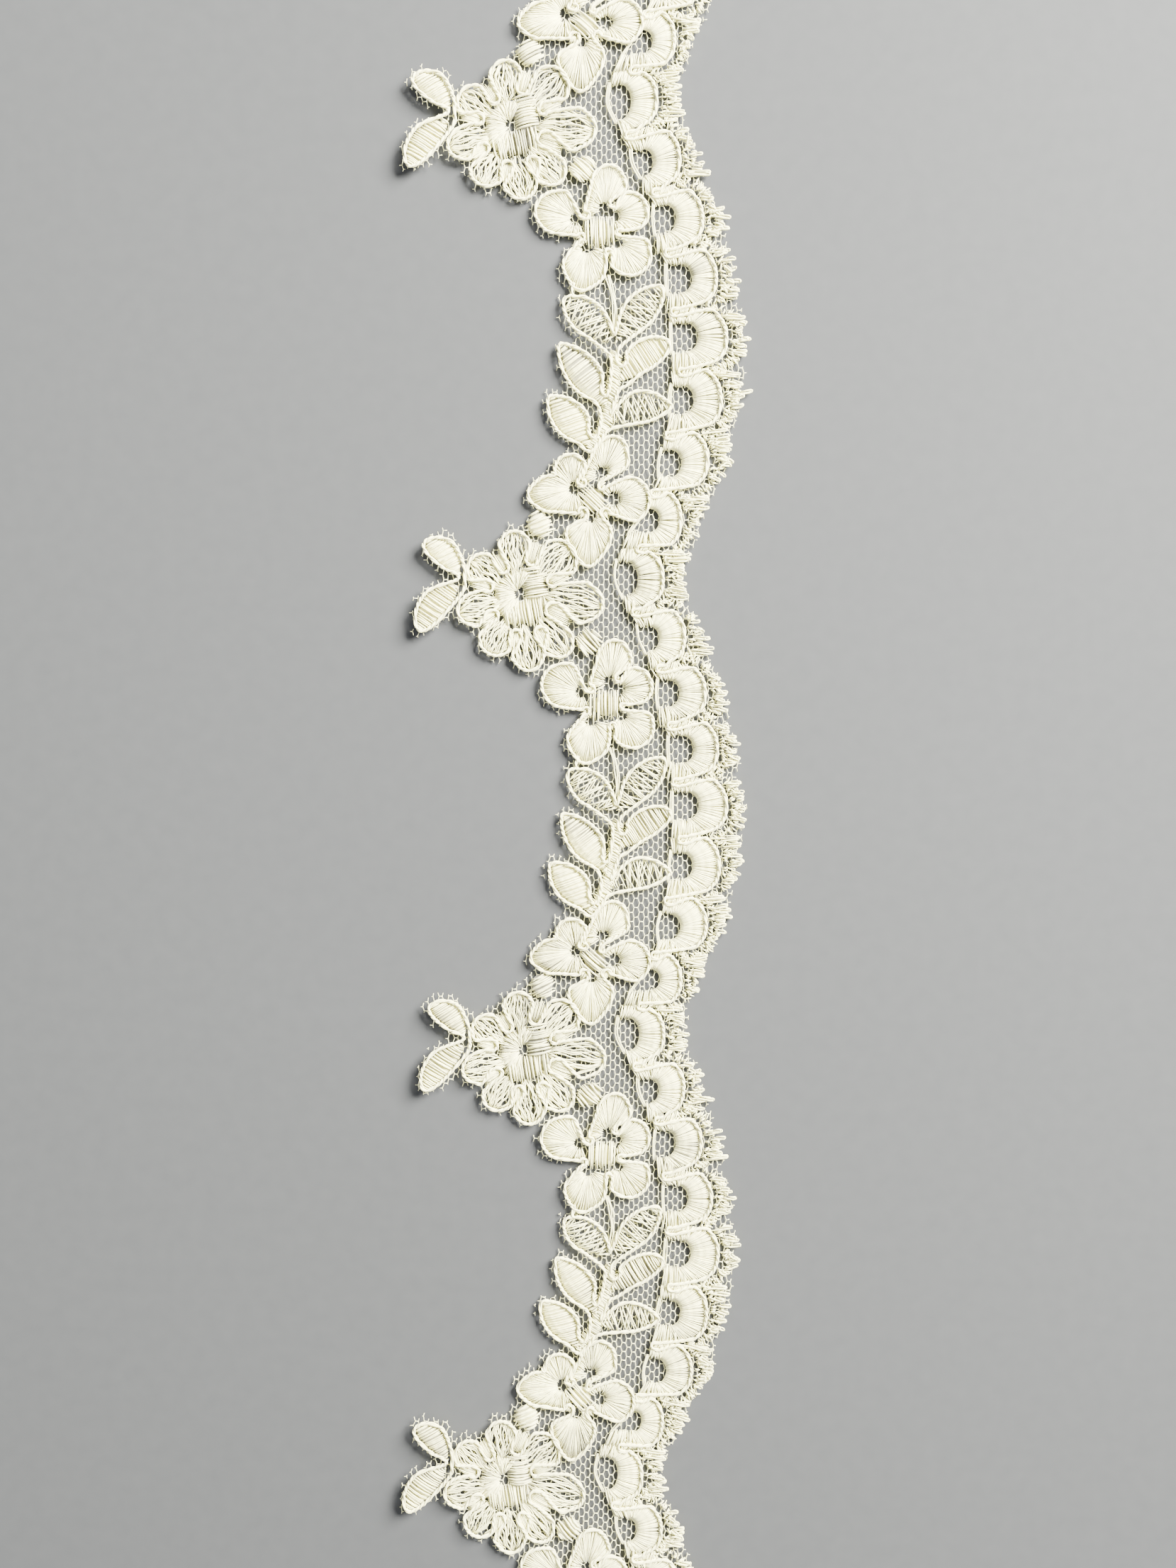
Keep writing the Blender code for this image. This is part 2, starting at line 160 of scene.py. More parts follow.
# The camera: what it looks at in millimetres, and its focal length in pixels of the photograph
CAMERA_TARGET = (3.3, 11.1, 1.2)
CAMERA_TILT_DEG = -3.66
CAMERA_AWAY_M = 0.3
FOCUS_PX = 2000.0
PHOTO_WIDE_PX = 1659.0
SENSOR_WIDE = 36.0

Light = namedtuple("Light", "name place_m size_m watts colour")
LIGHTS = (
    Light("key", (0.62, 0.52, 0.56), 0.5, 155.0, (1.0, 0.975, 0.87)),
    Light("fill", (-0.7, -0.2, 0.9), 0.9, 7.0, (0.97, 0.98, 1.0)),
)

# The finish of each thread: its colours from the painted shade of the gaps to the lightest, and the length
# and depth of its ply
Look = namedtuple("Look", "name deep dark light roughness sheen ply bump")
LOOKS = (
    Look("net_thread", (0.50, 0.48, 0.32), (0.82, 0.80, 0.46), (0.94, 0.92, 0.57), 0.7, 0.2, 0.5, 0.3),
    Look("satin_thread", (0.16, 0.155, 0.115), (0.81, 0.785, 0.42), (0.97, 0.945, 0.5), 0.5, 0.3, 0.7, 0.5),
    Look("cord_thread", (0.60, 0.57, 0.35), (0.87, 0.84, 0.45), (0.97, 0.945, 0.54), 0.5, 0.3, 0.9, 0.7),
)

NET, SATIN, CORD = range(3)
rng = np.random.default_rng(41)

# The padding under the close satin, coloured as painted shade between the stitches, kept as pairs of lines
# until the net is made
padding = []

# How far the laid length strays from a straight line
Stray = namedtuple("Stray", "along right up turn_deg")
STRAYS = (
    Stray(130.0, -1.8, 1.0, 3.0),
    Stray(96.0, -1.6, 0.8, 4.0),
    Stray(62.0, -0.8, 1.5, -1.0),
    Stray(30.0, 0.0, 1.1, 0.5),
    Stray(0.0, 0.0, 0.0, 0.0),
    Stray(-48.0, 0.0, 0.0, 0.0),
    Stray(-96.0, 0.5, -0.5, 1.5),
    Stray(-128.0, -0.7, -0.6, 0.0),
    Stray(-162.0, -2.3, 0.0, -5.0),
    Stray(-193.0, -4.0, -1.2, -4.3),
    Stray(-232.0, -6.0, -1.2, -3.0),
)

# A blade is a petal or a leaf: an outline on an axis from its base, widest at "belly" of its length.
# Its ends are round at 0.5 and pointed at 1.
Blade = namedtuple("Blade", "name across along bearing length width belly base_end tip_end bend")
ROSE = (
    Blade("right", 5.2, -0.4, -10, 12.7, 8.6, 0.55, 0.45, 0.45, 0.0),
    Blade("low_right", 3.8, -4.4, -52, 10.5, 6.8, 0.58, 0.50, 0.45, 0.0),
    Blade("bottom", 0.9, -6.2, -80, 10.0, 7.0, 0.55, 0.50, 0.45, 0.0),
    Blade("low_left", -2.4, -5.2, -118, 8.3, 7.0, 0.58, 0.50, 0.45, 0.0),
    Blade("left_low", -3.4, -1.9, -166, 9.5, 7.0, 0.55, 0.50, 0.45, 0.0),
    Blade("left_up", -3.8, 2.0, 141, 7.9, 6.5, 0.58, 0.50, 0.45, 0.0),
    Blade("top_left", -0.4, 4.4, 94, 8.3, 6.5, 0.58, 0.50, 0.45, 0.0),
    Blade("top_right", 3.8, 2.8, 43, 10.0, 8.2, 0.58, 0.50, 0.45, 0.0),
)
TAIL = (
    Blade("upper", -12.2, 3.6, 136, 10.0, 5.3, 0.58, 0.60, 0.45, -1.2),
    Blade("lower", -12.6, 1.9, -131, 12.6, 5.8, 0.52, 0.65, 0.50, -1.0),
)
FLOWER_A = (
    Blade("left", 16.0, -21.8, 158, 11.7, 9.2, 0.60, 0.60, 0.45, 0.0),
    Blade("top", 19.4, -20.0, 84, 10.4, 7.2, 0.60, 0.65, 0.48, 0.0),
    Blade("right_up", 20.0, -20.6, 17, 8.2, 7.5, 0.62, 0.65, 0.42, 0.0),
    Blade("right_low", 20.8, -23.8, -52, 9.6, 8.8, 0.56, 0.60, 0.42, 0.0),
    Blade("low_left", 16.0, -25.0, -103, 10.8, 8.7, 0.55, 0.65, 0.62, 0.0),
)
FLOWER_B = (
    Blade("left", 13.7, 20.4, -177, 11.7, 7.4, 0.55, 0.65, 0.58, 0.0),
    Blade("up_left", 12.0, 20.4, 105, 7.6, 6.4, 0.62, 0.70, 0.42, 0.0),
    Blade("top_right", 17.0, 21.4, 69, 10.6, 7.4, 0.56, 0.65, 0.45, 0.0),
    Blade("right", 18.0, 17.8, 11, 9.5, 8.6, 0.60, 0.60, 0.45, 0.0),
    Blade("bottom", 14.9, 17.2, -91, 11.6, 9.3, 0.42, 0.60, 0.62, 0.0),
)
SPRAY = (
    Blade("left_1", 20.6, -45.6, 140, 13.1, 6.9, 0.55, 0.70, 0.56, 0.0),
    Blade("left_2", 18.6, -58.8, 127, 15.6, 6.9, 0.53, 0.70, 0.72, -0.3),
    Blade("left_3", 15.4, -66.9, 131, 13.4, 7.0, 0.54, 0.75, 0.70, -0.3),
    Blade("right_1", 20.9, -45.8, 49, 14.9, 6.4, 0.56, 0.80, 0.62, 0.3),
    Blade("right_2", 21.0, -53.8, 37, 13.6, 5.9, 0.58, 0.70, 0.46, 0.9),
    Blade("right_3", 19.2, -61.6, 13, 13.2, 6.5, 0.52, 0.70, 0.72, 1.2),
)

# The stem of the leaf spray: its centre line and its width there
StemRow = namedtuple("StemRow", "across along width")
STEM = (
    StemRow(21.0, -48.0, 2.2),
    StemRow(20.2, -54.0, 2.4),
    StemRow(18.9, -60.0, 2.4),
    StemRow(17.0, -64.2, 2.2),
    StemRow(14.8, -67.0, 1.6),
)

# Round dots, and the round centres that hold the petals of a flower together
Dot = namedtuple("Dot", "name across along radius bearing")
Disc = namedtuple("Disc", "across along radius")
DOTS = (Dot("dot_high", 4.3, 14.0, 2.5, 25), Dot("dot_low", 14.8, -10.0, 2.5, -45))
ROSE_CENTRE = Disc(0.6, -0.6, 6.6)
FLOWER_A_CENTRE = Disc(18.4, -22.6, 3.4)
FLOWER_B_CENTRE = Disc(15.6, 19.6, 3.4)
FLOWER_PADS = (Disc(18.2, -23.2, 2.6), Disc(15.8, 18.9, 2.4))

# Where the cord turns back between a petal and the next one clockwise: the inner end of its loop, how wide
# the loop is, and how far its two legs run straight out from there
Turn = namedtuple("Turn", "across along wide deep")
ROSE_TURNS = (
    Turn(5.8, -2.8, 3.3, 0.8),
    Turn(4.0, -7.0, 2.6, 0.8),
    Turn(-0.4, -7.5, 2.4, 0.8),
    Turn(-4.4, -3.9, 2.4, 0.8),
    Turn(-5.3, 1.2, 2.3, 0.8),
    Turn(-2.5, 4.4, 2.2, 0.8),
    Turn(2.5, 5.8, 2.6, 0.8),
    Turn(6.1, 2.1, 2.3, 0.8),
)
FLOWER_A_TURNS = (
    Turn(15.8, -20.4, 1.7, 0.8),
    Turn(20.6, -18.4, 1.4, 0.7),
    Turn(21.4, -23.4, 1.3, 0.9),
    Turn(19.5, -27.0, 1.4, 0.8),
    Turn(14.8, -24.2, 1.5, 0.9),
)
FLOWER_B_TURNS = (
    Turn(6.9, 24.3, 0.0, 0.0),
    Turn(13.9, 21.6, 1.5, 0.8),
    Turn(17.0, 20.9, 1.4, 0.8),
    Turn(17.6, 16.9, 1.9, 0.8),
    Turn(14.0, 17.1, 2.0, 0.8),
)

# The small holes that the satin of each petal fans out from
Eye = namedtuple("Eye", "across along")
ROSE_EYE = Eye(0.0, 0.0)
FLOWER_A_EYES = (Eye(13.2, -20.4), Eye(19.2, -18.5), Eye(20.9, -20.0), Eye(21.5, -25.4), Eye(15.3, -26.5))
FLOWER_B_EYES = (Eye(11.7, 21.1), Eye(11.7, 21.1), Eye(17.6, 24.0), Eye(20.0, 18.9), Eye(15.0, 15.6))

# Blocks of parallel stitches over the middle of a flower: the middle of the side that they start along
Block = namedtuple("Block", "across along bearing long wide pitch high ragged")
ROSE_BLOCKS = (
    Block(0.9, 2.2, 10, 5.0, 6.2, 0.54, 1.50, 0.45),
    Block(1.0, -1.2, -80, 5.3, 8.8, 0.54, 1.45, 0.45),
)
FLOWER_A_BLOCK = Block(18.1, -20.2, -90, 6.1, 5.6, 0.46, 1.60, 0.60)
FLOWER_B_BLOCK = Block(13.2, 21.0, -42, 6.4, 3.6, 0.54, 1.62, 0.45)

Flower = namedtuple("Flower", "name blades turns eyes centre block")
LOW = Flower("flower_low", FLOWER_A, FLOWER_A_TURNS, FLOWER_A_EYES, FLOWER_A_CENTRE, FLOWER_A_BLOCK)
HIGH = Flower("flower_high", FLOWER_B, FLOWER_B_TURNS, FLOWER_B_EYES, FLOWER_B_CENTRE, FLOWER_B_BLOCK)

# The leaves of the spray with close satin, and those with two open layers of crossing stitches. Bearings
# are from the axis of each leaf.
CloseLeaf = namedtuple("CloseLeaf", "name bearing pitch")
CLOSE_LEAVES = (
    CloseLeaf("left_2", -91, 0.46),
    CloseLeaf("left_3", -111, 0.46),
    CloseLeaf("right_2", -94, 0.43),
)
OpenLeaf = namedtuple("OpenLeaf", "name over under")
OPEN_LEAVES = (OpenLeaf("left_1", -118, -82), OpenLeaf("right_1", -92, -62), OpenLeaf("right_3", -82, -112))
SPRAY_SHARES = (0.18, 0.36, 0.56, 0.78, 0.94)
TAIL_SHARES = (0.3, 0.5, 0.75, 0.94)

# Where the cords of the leaf spray run between its leaves: each list goes down the stem from one leaf,
# round a hook, and up to the next leaf
Knot = namedtuple("Knot", "across along")
FORK = Knot(20.6, -44.4)
FLOWER_A_TIP = Knot(12.5, -34.0)
LEFT_HOOKS = (
    (Knot(19.3, -48.2), Knot(19.8, -50.4), Knot(19.6, -53.0), Knot(19.1, -55.6), Knot(18.3, -56.7),
     Knot(17.6, -55.4)),
    (Knot(16.3, -58.0), Knot(17.3, -60.5), Knot(17.1, -62.9), Knot(16.4, -64.8), Knot(15.5, -65.2),
     Knot(14.7, -63.6)),
)
RIGHT_HOOKS = (
    (Knot(22.0, -46.6), Knot(21.0, -48.6), Knot(21.2, -50.2), Knot(22.2, -50.6), Knot(23.2, -49.4)),
    (Knot(22.9, -54.5), Knot(21.3, -55.4), Knot(20.4, -57.4), Knot(19.4, -60.2), Knot(20.1, -59.4)),
)
LEFT_END = (Knot(14.4, -67.8), Knot(15.9, -67.4), Knot(17.6, -65.2))
RIGHT_END = (Knot(19.2, -63.4), Knot(17.2, -65.6), Knot(15.0, -68.4))
FINE_STEM = (Knot(19.3, -32.2), Knot(20.3, -35.6), Knot(20.8, -39.2), Knot(20.7, -43.6))
TAIL_JOINT = (Knot(-11.4, 5.9), Knot(-11.2, 3.2), Knot(-11.5, 0.6))
TAIL_FOLD = (Knot(-13.4, 2.6), Knot(-12.4, 3.4), Knot(-13.4, 4.3))

# The scallops of the border, down one repeat: the middle of the net-filled hole, the furthest reach of the
# cord, the left ends of the arms above and below the hole, and the size of the hole
Scallop = namedtuple("Scallop", "across along reach arm_above arm_below hole_wide hole_high")
SCALLOPS = (
    Scallop(27.3, 14.7, 34.0, 27.6, 22.8, 4.4, 4.7),
    Scallop(22.6, 3.0, 30.3, 20.6, 22.0, 4.8, 7.2),
    Scallop(27.4, -9.4, 34.9, 24.8, 26.8, 4.2, 5.4),
    Scallop(31.4, -20.8, 39.3, 29.3, 29.4, 4.8, 5.8),
    Scallop(34.2, -32.7, 41.9, 31.5, 31.8, 5.4, 6.0),
    Scallop(35.2, -44.6, 43.9, 32.4, 32.4, 5.6, 6.0),
    Scallop(34.2, -57.4, 42.4, 32.2, 31.6, 5.0, 5.8),
    Scallop(31.6, -70.4, 39.5, 30.0, 29.4, 4.8, 5.6),
)
FIRST_SCALLOP = -1
LAST_SCALLOP = 28

# Where the border's cord turns back below each scallop
SCALLOP_TURNS = (
    Turn(24.8, 9.0, 1.5, 1.1),
    Turn(23.8, -3.9, 1.5, 1.1),
    Turn(29.0, -15.7, 1.5, 1.1),
    Turn(31.3, -27.7, 1.5, 1.1),
    Turn(32.4, -39.6, 1.5, 1.1),
    Turn(33.7, -51.8, 1.5, 1.1),
    Turn(30.7, -64.8, 1.5, 1.1),
    Turn(27.7, -76.4, 1.5, 1.1),
)


def eased(along, values):
    """Values of the rows of STRAYS, eased between the rows."""
    rows = np.array([row.along for row in STRAYS])[::-1]
    values = np.array(values)[::-1]
    at = np.clip(np.searchsorted(rows, along) - 1, 0, len(rows) - 2)
    share = np.clip((along - rows[at]) / (rows[at + 1] - rows[at]), 0.0, 1.0)
    ease = share * share * (3.0 - 2.0 * share)
    return values[at] + (values[at + 1] - values[at]) * ease


def place(points):
    """Places on the table, in metres, of points (across, along, height) of the chart."""
    across, along, height = points[..., 0], points[..., 1], points[..., 2]
    turn = np.radians(eased(along, [row.turn_deg for row in STRAYS]))
    side = across - SPINE
    x = ORIGIN[0] + SPINE + eased(along, [row.right for row in STRAYS]) + side * np.cos(turn)
    y = ORIGIN[1] + along + eased(along, [row.up for row in STRAYS]) + side * np.sin(turn)
    nearest = -REPEAT * np.clip(np.round(-along / REPEAT), -1, REPEATS - 2)
    out = np.maximum(0.0, LOBE_START - across) / LOBE_REACH
    beside = np.maximum(0.0, 1.0 - np.abs(along - nearest) / (LOBE_SHARE * REPEAT))
    return np.stack((x, y, height + LOBE_LIFT * out * out * beside), axis=-1) * MM


def bearing_axes(bearing):
    """The way along a bearing in degrees, and the way to its left."""
    turn = math.radians(bearing)
    return np.array((math.cos(turn), math.sin(turn))), np.array((-math.sin(turn), math.cos(turn)))


def round_ways(turns_deg):
    """Unit vectors at angles in degrees."""
    turn = np.radians(turns_deg)
    return np.stack((np.cos(turn), np.sin(turn)), axis=-1)


def spot(row):
    """Where a row of a table lies."""
    return np.array((row.across, row.along))


def blade_half(blade, s, grow):
    """Half the width of a blade at s of its length."""
    power = math.log(0.5) / math.log(blade.belly)
    roundness = blade.base_end + (blade.tip_end - blade.base_end) * s
    return (0.5 * blade.width + grow) * np.sin(np.pi * s**power) ** roundness


def blade_points(blade, s, side, grow=0.0):
    """Points at s of the length of a blade, from -1 on its right edge to 1 on its left one."""
    axis, to_left = bearing_axes(blade.bearing)
    s = np.asarray(s, dtype=float)[..., None]
    length = blade.length + 2.0 * grow
    start = spot(blade) - axis * grow
    half = blade_half(blade, np.clip(s, 0.0, 1.0), grow)
    offset = half * np.asarray(side, dtype=float)[..., None] + blade.bend * 4.0 * s * (1.0 - s)
    return start + axis * (length * s) + to_left * offset


def blade_outline(blade, grow, count=12):
    """The closed outline of a blade, anticlockwise."""
    s = 0.5 - 0.5 * np.cos(np.pi * np.arange(count + 2) / (count + 1))
    right = blade_points(blade, s, np.full(len(s), -1.0), grow)
    left = blade_points(blade, s[-2:0:-1], np.ones(len(s) - 2), grow)
    return np.concatenate((right, left))


def disc_outline(disc, grow, count=20):
    """The closed outline of a dot or a round centre, anticlockwise."""
    turn = 2.0 * np.pi * np.arange(count) / count
    radius = disc.radius + grow
    return np.stack((disc.across + radius * np.cos(turn), disc.along + radius * np.sin(turn)), axis=-1)


def shifted(row, number):
    """A row of a table, moved to its place in a repeat. The repeats are counted from 0 at the top."""
    return row._replace(along=row.along + REPEAT * (1 - number))


def shifted_rows(rows, number):
    """All the rows of a table, moved to their places in a repeat."""
    return [shifted(row, number) for row in rows]


def scallop_at(number):
    """A scallop of the border, counted from the first one of the top repeat."""
    return shifted(SCALLOPS[number % len(SCALLOPS)], number // len(SCALLOPS))


def scallop_turn(number):
    """Where the cord turns back below a scallop."""
    return shifted(SCALLOP_TURNS[number % len(SCALLOPS)], number // len(SCALLOPS))


def notch_below(number):
    """How far along the notch between a scallop and the next one lies."""
    return 0.5 * (scallop_at(number).along + scallop_at(number + 1).along)


def hole_edge(number, grow, turns_deg):
    """Points round the net-filled hole of a scallop, at angles from its middle."""
    here = scallop_at(number)
    half = (0.5 * here.hole_wide + grow, 0.5 * here.hole_high + grow)
    return spot(here) + round_ways(turns_deg) * half


def lobe_edge(number, grow, turns_deg):
    """Points round the outer edge of a scallop, a squarish half round, at angles from its middle."""
    here = scallop_at(number)
    top, bottom = notch_below(number - 1), notch_below(number)
    high = 0.5 * (top - bottom) + grow
    wide = here.reach - here.across + 0.5 * CORD_WIDE + grow
    turn = np.radians(turns_deg)
    out = wide * np.maximum(np.cos(turn), 0.0) ** LOBE_SQUARE
    side = high * np.sign(np.sin(turn)) * np.abs(np.sin(turn)) ** LOBE_SQUARE
    side = side + LOBE_TOP_LIFT * np.maximum(np.sin(turn), 0.0)
    return np.stack((here.across + out, 0.5 * (top + bottom) + side), axis=-1)


def fringe_line(along):
    """The line through the furthest points of the scallops, which the fringe follows."""
    rows = [scallop_at(number) for number in range(LAST_SCALLOP, FIRST_SCALLOP - 1, -1)]
    return np.interp(along, [row.along for row in rows], [row.reach for row in rows]) + 0.5 * CORD_WIDE


def smooth(points, step, closed=False):
    """A Catmull-Rom curve through points, cut into equal steps."""
    points = np.asarray(points, dtype=float)
    if closed:
        ring = np.concatenate((points[-1:], points, points[:2]))
    else:
        ring = np.concatenate((2.0 * points[:1] - points[1:2], points, 2.0 * points[-1:] - points[-2:-1]))
    t = np.linspace(0.0, 1.0, 12, endpoint=False)[:, None]
    pieces = []
    for a, b, c, d in zip(ring[:-3], ring[1:-2], ring[2:-1], ring[3:]):
        cubic = (3.0 * b - a - 3.0 * c + d) * t**3
        pieces.append(0.5 * (2.0 * b + (c - a) * t + (2.0 * a - 5.0 * b + 4.0 * c - d) * t**2 + cubic))
    dense = np.concatenate((*pieces, ring[-2:-1]))
    lengths = np.concatenate(((0.0,), np.cumsum(np.linalg.norm(np.diff(dense, axis=0), axis=1))))
    count = max(2, round(lengths[-1] / step))
    at = np.linspace(0.0, lengths[-1], count + 1)
    return np.stack([np.interp(at, lengths, dense[:, i]) for i in range(dense.shape[1])], axis=-1)


def inside(points, outline):
    """Which points lie inside a closed outline."""
    low, high = outline.min(axis=0), outline.max(axis=0)
    found = np.all((points >= low) & (points <= high), axis=-1)
    x, y = points[found, 0][:, None], points[found, 1][:, None]
    ax, ay = outline[:, 0], outline[:, 1]
    bx, by = np.roll(ax, -1), np.roll(ay, -1)
    spans = (ay > y) != (by > y)
    rise = np.where(by == ay, 1.0, by - ay)
    crossing = spans & (x < ax + (y - ay) * (bx - ax) / rise)
    found[found] = crossing.sum(axis=1) % 2 == 1
    return found


class Skein:
    """The threads of one piece, gathered as closed tubes."""

    def __init__(self, name):
        self.name = name
        self.points = []
        self.tones = []
        self.faces = {}
        self.count = 0

    def add_faces(self, faces, look, uvs):
        """Keeps faces that have the same number of corners and the same look."""
        size = faces.shape[-1]
        self.faces.setdefault((size, look), []).append((faces.reshape(-1, size), uvs.reshape(-1, size, 2)))

    def tubes(self, paths, radius, look, sides=4, tone=0.0, blunt=0.6):
        """Adds a tube along each path of the chart. paths is (K, N, 3), and radius fits (K, N)."""
        places = place(np.asarray(paths, dtype=float))
        many, long = places.shape[:2]
        ahead = np.gradient(places, axis=1)
        ahead /= np.linalg.norm(ahead, axis=-1, keepdims=True) + 1e-12
        side = np.cross(ahead, (0.0, 0.0, 1.0))
        side /= np.linalg.norm(side, axis=-1, keepdims=True) + 1e-12
        up = np.cross(side, ahead)
        wide = np.broadcast_to(np.asarray(radius, dtype=float), (many, long)).copy() * MM
        if look == SATIN:
            wide *= np.clip(rng.normal(1.0, THREAD_UNEVEN, (many, 1)), 0.6, 1.4)
        wide[:, 0] *= blunt
        wide[:, -1] *= blunt
        turn = 2.0 * np.pi * (np.arange(sides) + 0.5) / sides
        ring = np.cos(turn)[:, None] * side[:, :, None] + np.sin(turn)[:, None] * up[:, :, None]
        points = places[:, :, None] + ring * wide[:, :, None, None]
        numbers = self.count + np.arange(many * long * sides).reshape(many, long, sides)
        self.points.append(points.reshape(-1, 3))
        tones = np.broadcast_to(np.asarray(tone, dtype=float).reshape(-1, 1, 1), (many, long, sides))
        self.tones.append(tones.reshape(-1))
        self.count += many * long * sides
        after = np.roll(numbers, -1, axis=2)
        walls = np.stack((numbers[:, :-1], numbers[:, 1:], after[:, 1:], after[:, :-1]), axis=-1)
        steps = np.linalg.norm(np.diff(places, axis=1), axis=-1) / MM
        reach = np.concatenate((np.zeros((many, 1)), np.cumsum(steps, axis=1)), axis=1)
        u = np.broadcast_to(reach[:, :, None], (many, long, sides))
        v = np.broadcast_to(np.arange(sides) / sides, u[:, :-1].shape)
        w = v + 1.0 / sides
        near, far = u[:, :-1], u[:, 1:]
        corners = ((near, v), (far, v), (far, w), (near, w))
        uvs = np.stack([np.stack(pair, axis=-1) for pair in corners], axis=-2)
        self.add_faces(walls, look, uvs)
        for cap in (numbers[:, 0], numbers[:, -1, ::-1]):
            self.add_faces(cap, look, np.zeros((*cap.shape, 2)))

    def satin(self, paths, radius, tone=0.0):
        """Adds a thread along each path. The tones of neighbours drift from one to the next."""
        loose = rng.normal(0.0, TONE_SPREAD, len(paths) + 2)
        drift = np.maximum(loose[1:-1] + 0.6 * (loose[:-2] + loose[2:]), DARKEST_TONE)
        self.tubes(paths, radius, SATIN, tone=tone + drift)

    def cushion(self, places):
        """Adds the points of a cushion, ring by ring, and gives their numbers and the next ones round."""
        many, sides = places.shape[:2]
        numbers = self.count + np.arange(many * sides).reshape(many, sides)
        self.points.append(places.reshape(-1, 3))
        # The padding takes a low tone: painted shade for the gaps between the stitches
        self.tones.append(np.full(many * sides, PAD_SHADE_TONE))
        self.count += many * sides
        return numbers, np.roll(numbers, -1, axis=1)

    def close(self, *groups):
        """Adds the faces of a cushion."""
        for faces in groups:
            self.add_faces(faces, SATIN, np.zeros((*faces.shape, 2)))

    def pad(self, outline):
        """Adds a low cushion over a convex outline: a ring at its edge, and a smaller one on each face."""
        middle = outline.mean(axis=0)
        rings = []
        for share, height in ((0.78, PAD_LOW), (1.0, 0.5 * (PAD_LOW + PAD_HIGH)), (0.78, PAD_HIGH)):
            ring = middle + (outline - middle) * share
            rings.append(np.column_stack((ring, np.full(len(ring), height))))
        numbers, after = self.cushion(place(np.stack(rings)))
        walls = np.stack((numbers[:-1], after[:-1], after[1:], numbers[1:]), axis=-1)
        self.close(walls, numbers[0, ::-1], numbers[2])

    def band(self, inner, outer):
        """Adds a low cushion between two lines of points, with the outer one on the left."""
        section = ((0.0, 0.5), (0.3, 1.0), (0.75, 1.0), (1.0, 0.5), (0.75, 0.0), (0.3, 0.0))
        rows = []
        for share, height in section:
            line = inner + (outer - inner) * share
            height = PAD_LOW + (PAD_HIGH - PAD_LOW) * height
            rows.append(np.column_stack((line, np.full(len(line), height))))
        numbers, after = self.cushion(place(np.stack(rows, axis=1)))
        walls = np.stack((numbers[:-1], numbers[1:], after[1:], after[:-1]), axis=-1)
        self.close(walls, numbers[:1], numbers[-1:, ::-1])

    def piece(self, looks):
        """One Blender object of all the tubes."""
        groups = sorted(self.faces)
        corners, uvs, sizes, slots = [], [], [], []
        for size, look in groups:
            faces = np.concatenate([pair[0] for pair in self.faces[size, look]])
            corners.append(faces.reshape(-1))
            uvs.append(np.concatenate([pair[1] for pair in self.faces[size, look]]).reshape(-1))
            sizes.append(np.full(len(faces), size))
            slots.append(np.full(len(faces), look))
        corners, uvs = np.concatenate(corners), np.concatenate(uvs)
        sizes, slots = np.concatenate(sizes), np.concatenate(slots)
        data = bpy.data.meshes.new(self.name)
        data.vertices.add(self.count)
        data.vertices.foreach_set("co", np.concatenate(self.points).astype(np.float32).reshape(-1))
        data.loops.add(len(corners))
        data.loops.foreach_set("vertex_index", corners.astype(np.int32))
        data.polygons.add(len(sizes))
        data.polygons.foreach_set("loop_start", (np.cumsum(sizes) - sizes).astype(np.int32))
        used = sorted(set(slots.tolist()))
        data.polygons.foreach_set("material_index", np.searchsorted(used, slots).astype(np.int32))
        data.polygons.foreach_set("use_smooth", np.ones(len(sizes), dtype=bool))
        data.uv_layers.new(name="UVMap").data.foreach_set("uv", uvs.astype(np.float32))
        tone = data.attributes.new("tone", "FLOAT", "POINT")
        tone.data.foreach_set("value", np.concatenate(self.tones).astype(np.float32))
        data.update(calc_edges=True)
        for look in used:
            data.materials.append(looks[look])
        return link(self.name, data)


def stitches(starts, ends, low=SATIN_LOW, high=SATIN_HIGH, count=4, sway=0.05, rise=0.06):
    """Paths (K, count, 3) of stitches that bulge up between their ends and sway a little."""
    starts, ends = np.asarray(starts, dtype=float), np.asarray(ends, dtype=float)
    many = len(starts)
    t = np.linspace(0.0, 1.0, count)[None, :, None]
    line = starts[:, None] + (ends - starts)[:, None] * t
    away = ends - starts
    across = np.stack((-away[:, 1], away[:, 0]), axis=-1)
    across /= np.linalg.norm(across, axis=-1, keepdims=True) + 1e-9
    bow = np.sin(np.pi * t)
    line = line + across[:, None] * bow * rng.normal(0.0, sway, (many, 1, 1))
    crown = np.sqrt(np.maximum(bow[..., 0], 0.0))
    top = high + rng.normal(0.0, rise, (many, 1))
    return np.concatenate((line, (low + (top - low) * crown)[..., None]), axis=-1)


def hatch(outline, bearing, pitch, stray=0.0):
    """The ends of parallel stitches across a closed outline."""
    axis, to_left = bearing_axes(bearing)
    beside, ahead = outline @ to_left, outline @ axis
    rows = np.arange(beside.min() + 0.5 * pitch, beside.max(), pitch)
    rows = rows + rng.normal(0.0, stray, len(rows)) * pitch
    rows = rows[(rows > beside.min()) & (rows < beside.max())][:, None]
    next_beside, next_ahead = np.roll(beside, -1), np.roll(ahead, -1)
    crosses = (beside <= rows) != (next_beside <= rows)
    rise = np.where(next_beside == beside, 1.0, next_beside - beside)
    reach = ahead + (rows - beside) / rise * (next_ahead - ahead)
    near = np.where(crosses, reach, np.inf).min(axis=1)
    far = np.where(crosses, reach, -np.inf).max(axis=1)
    return near[:, None] * axis + rows * to_left, far[:, None] * axis + rows * to_left


def rights(line):
    """The way to the right of a line, at each of its points."""
    ahead = np.gradient(line, axis=0)
    ahead /= np.linalg.norm(ahead, axis=1, keepdims=True) + 1e-12
    return np.stack((ahead[:, 1], -ahead[:, 0]), axis=-1)


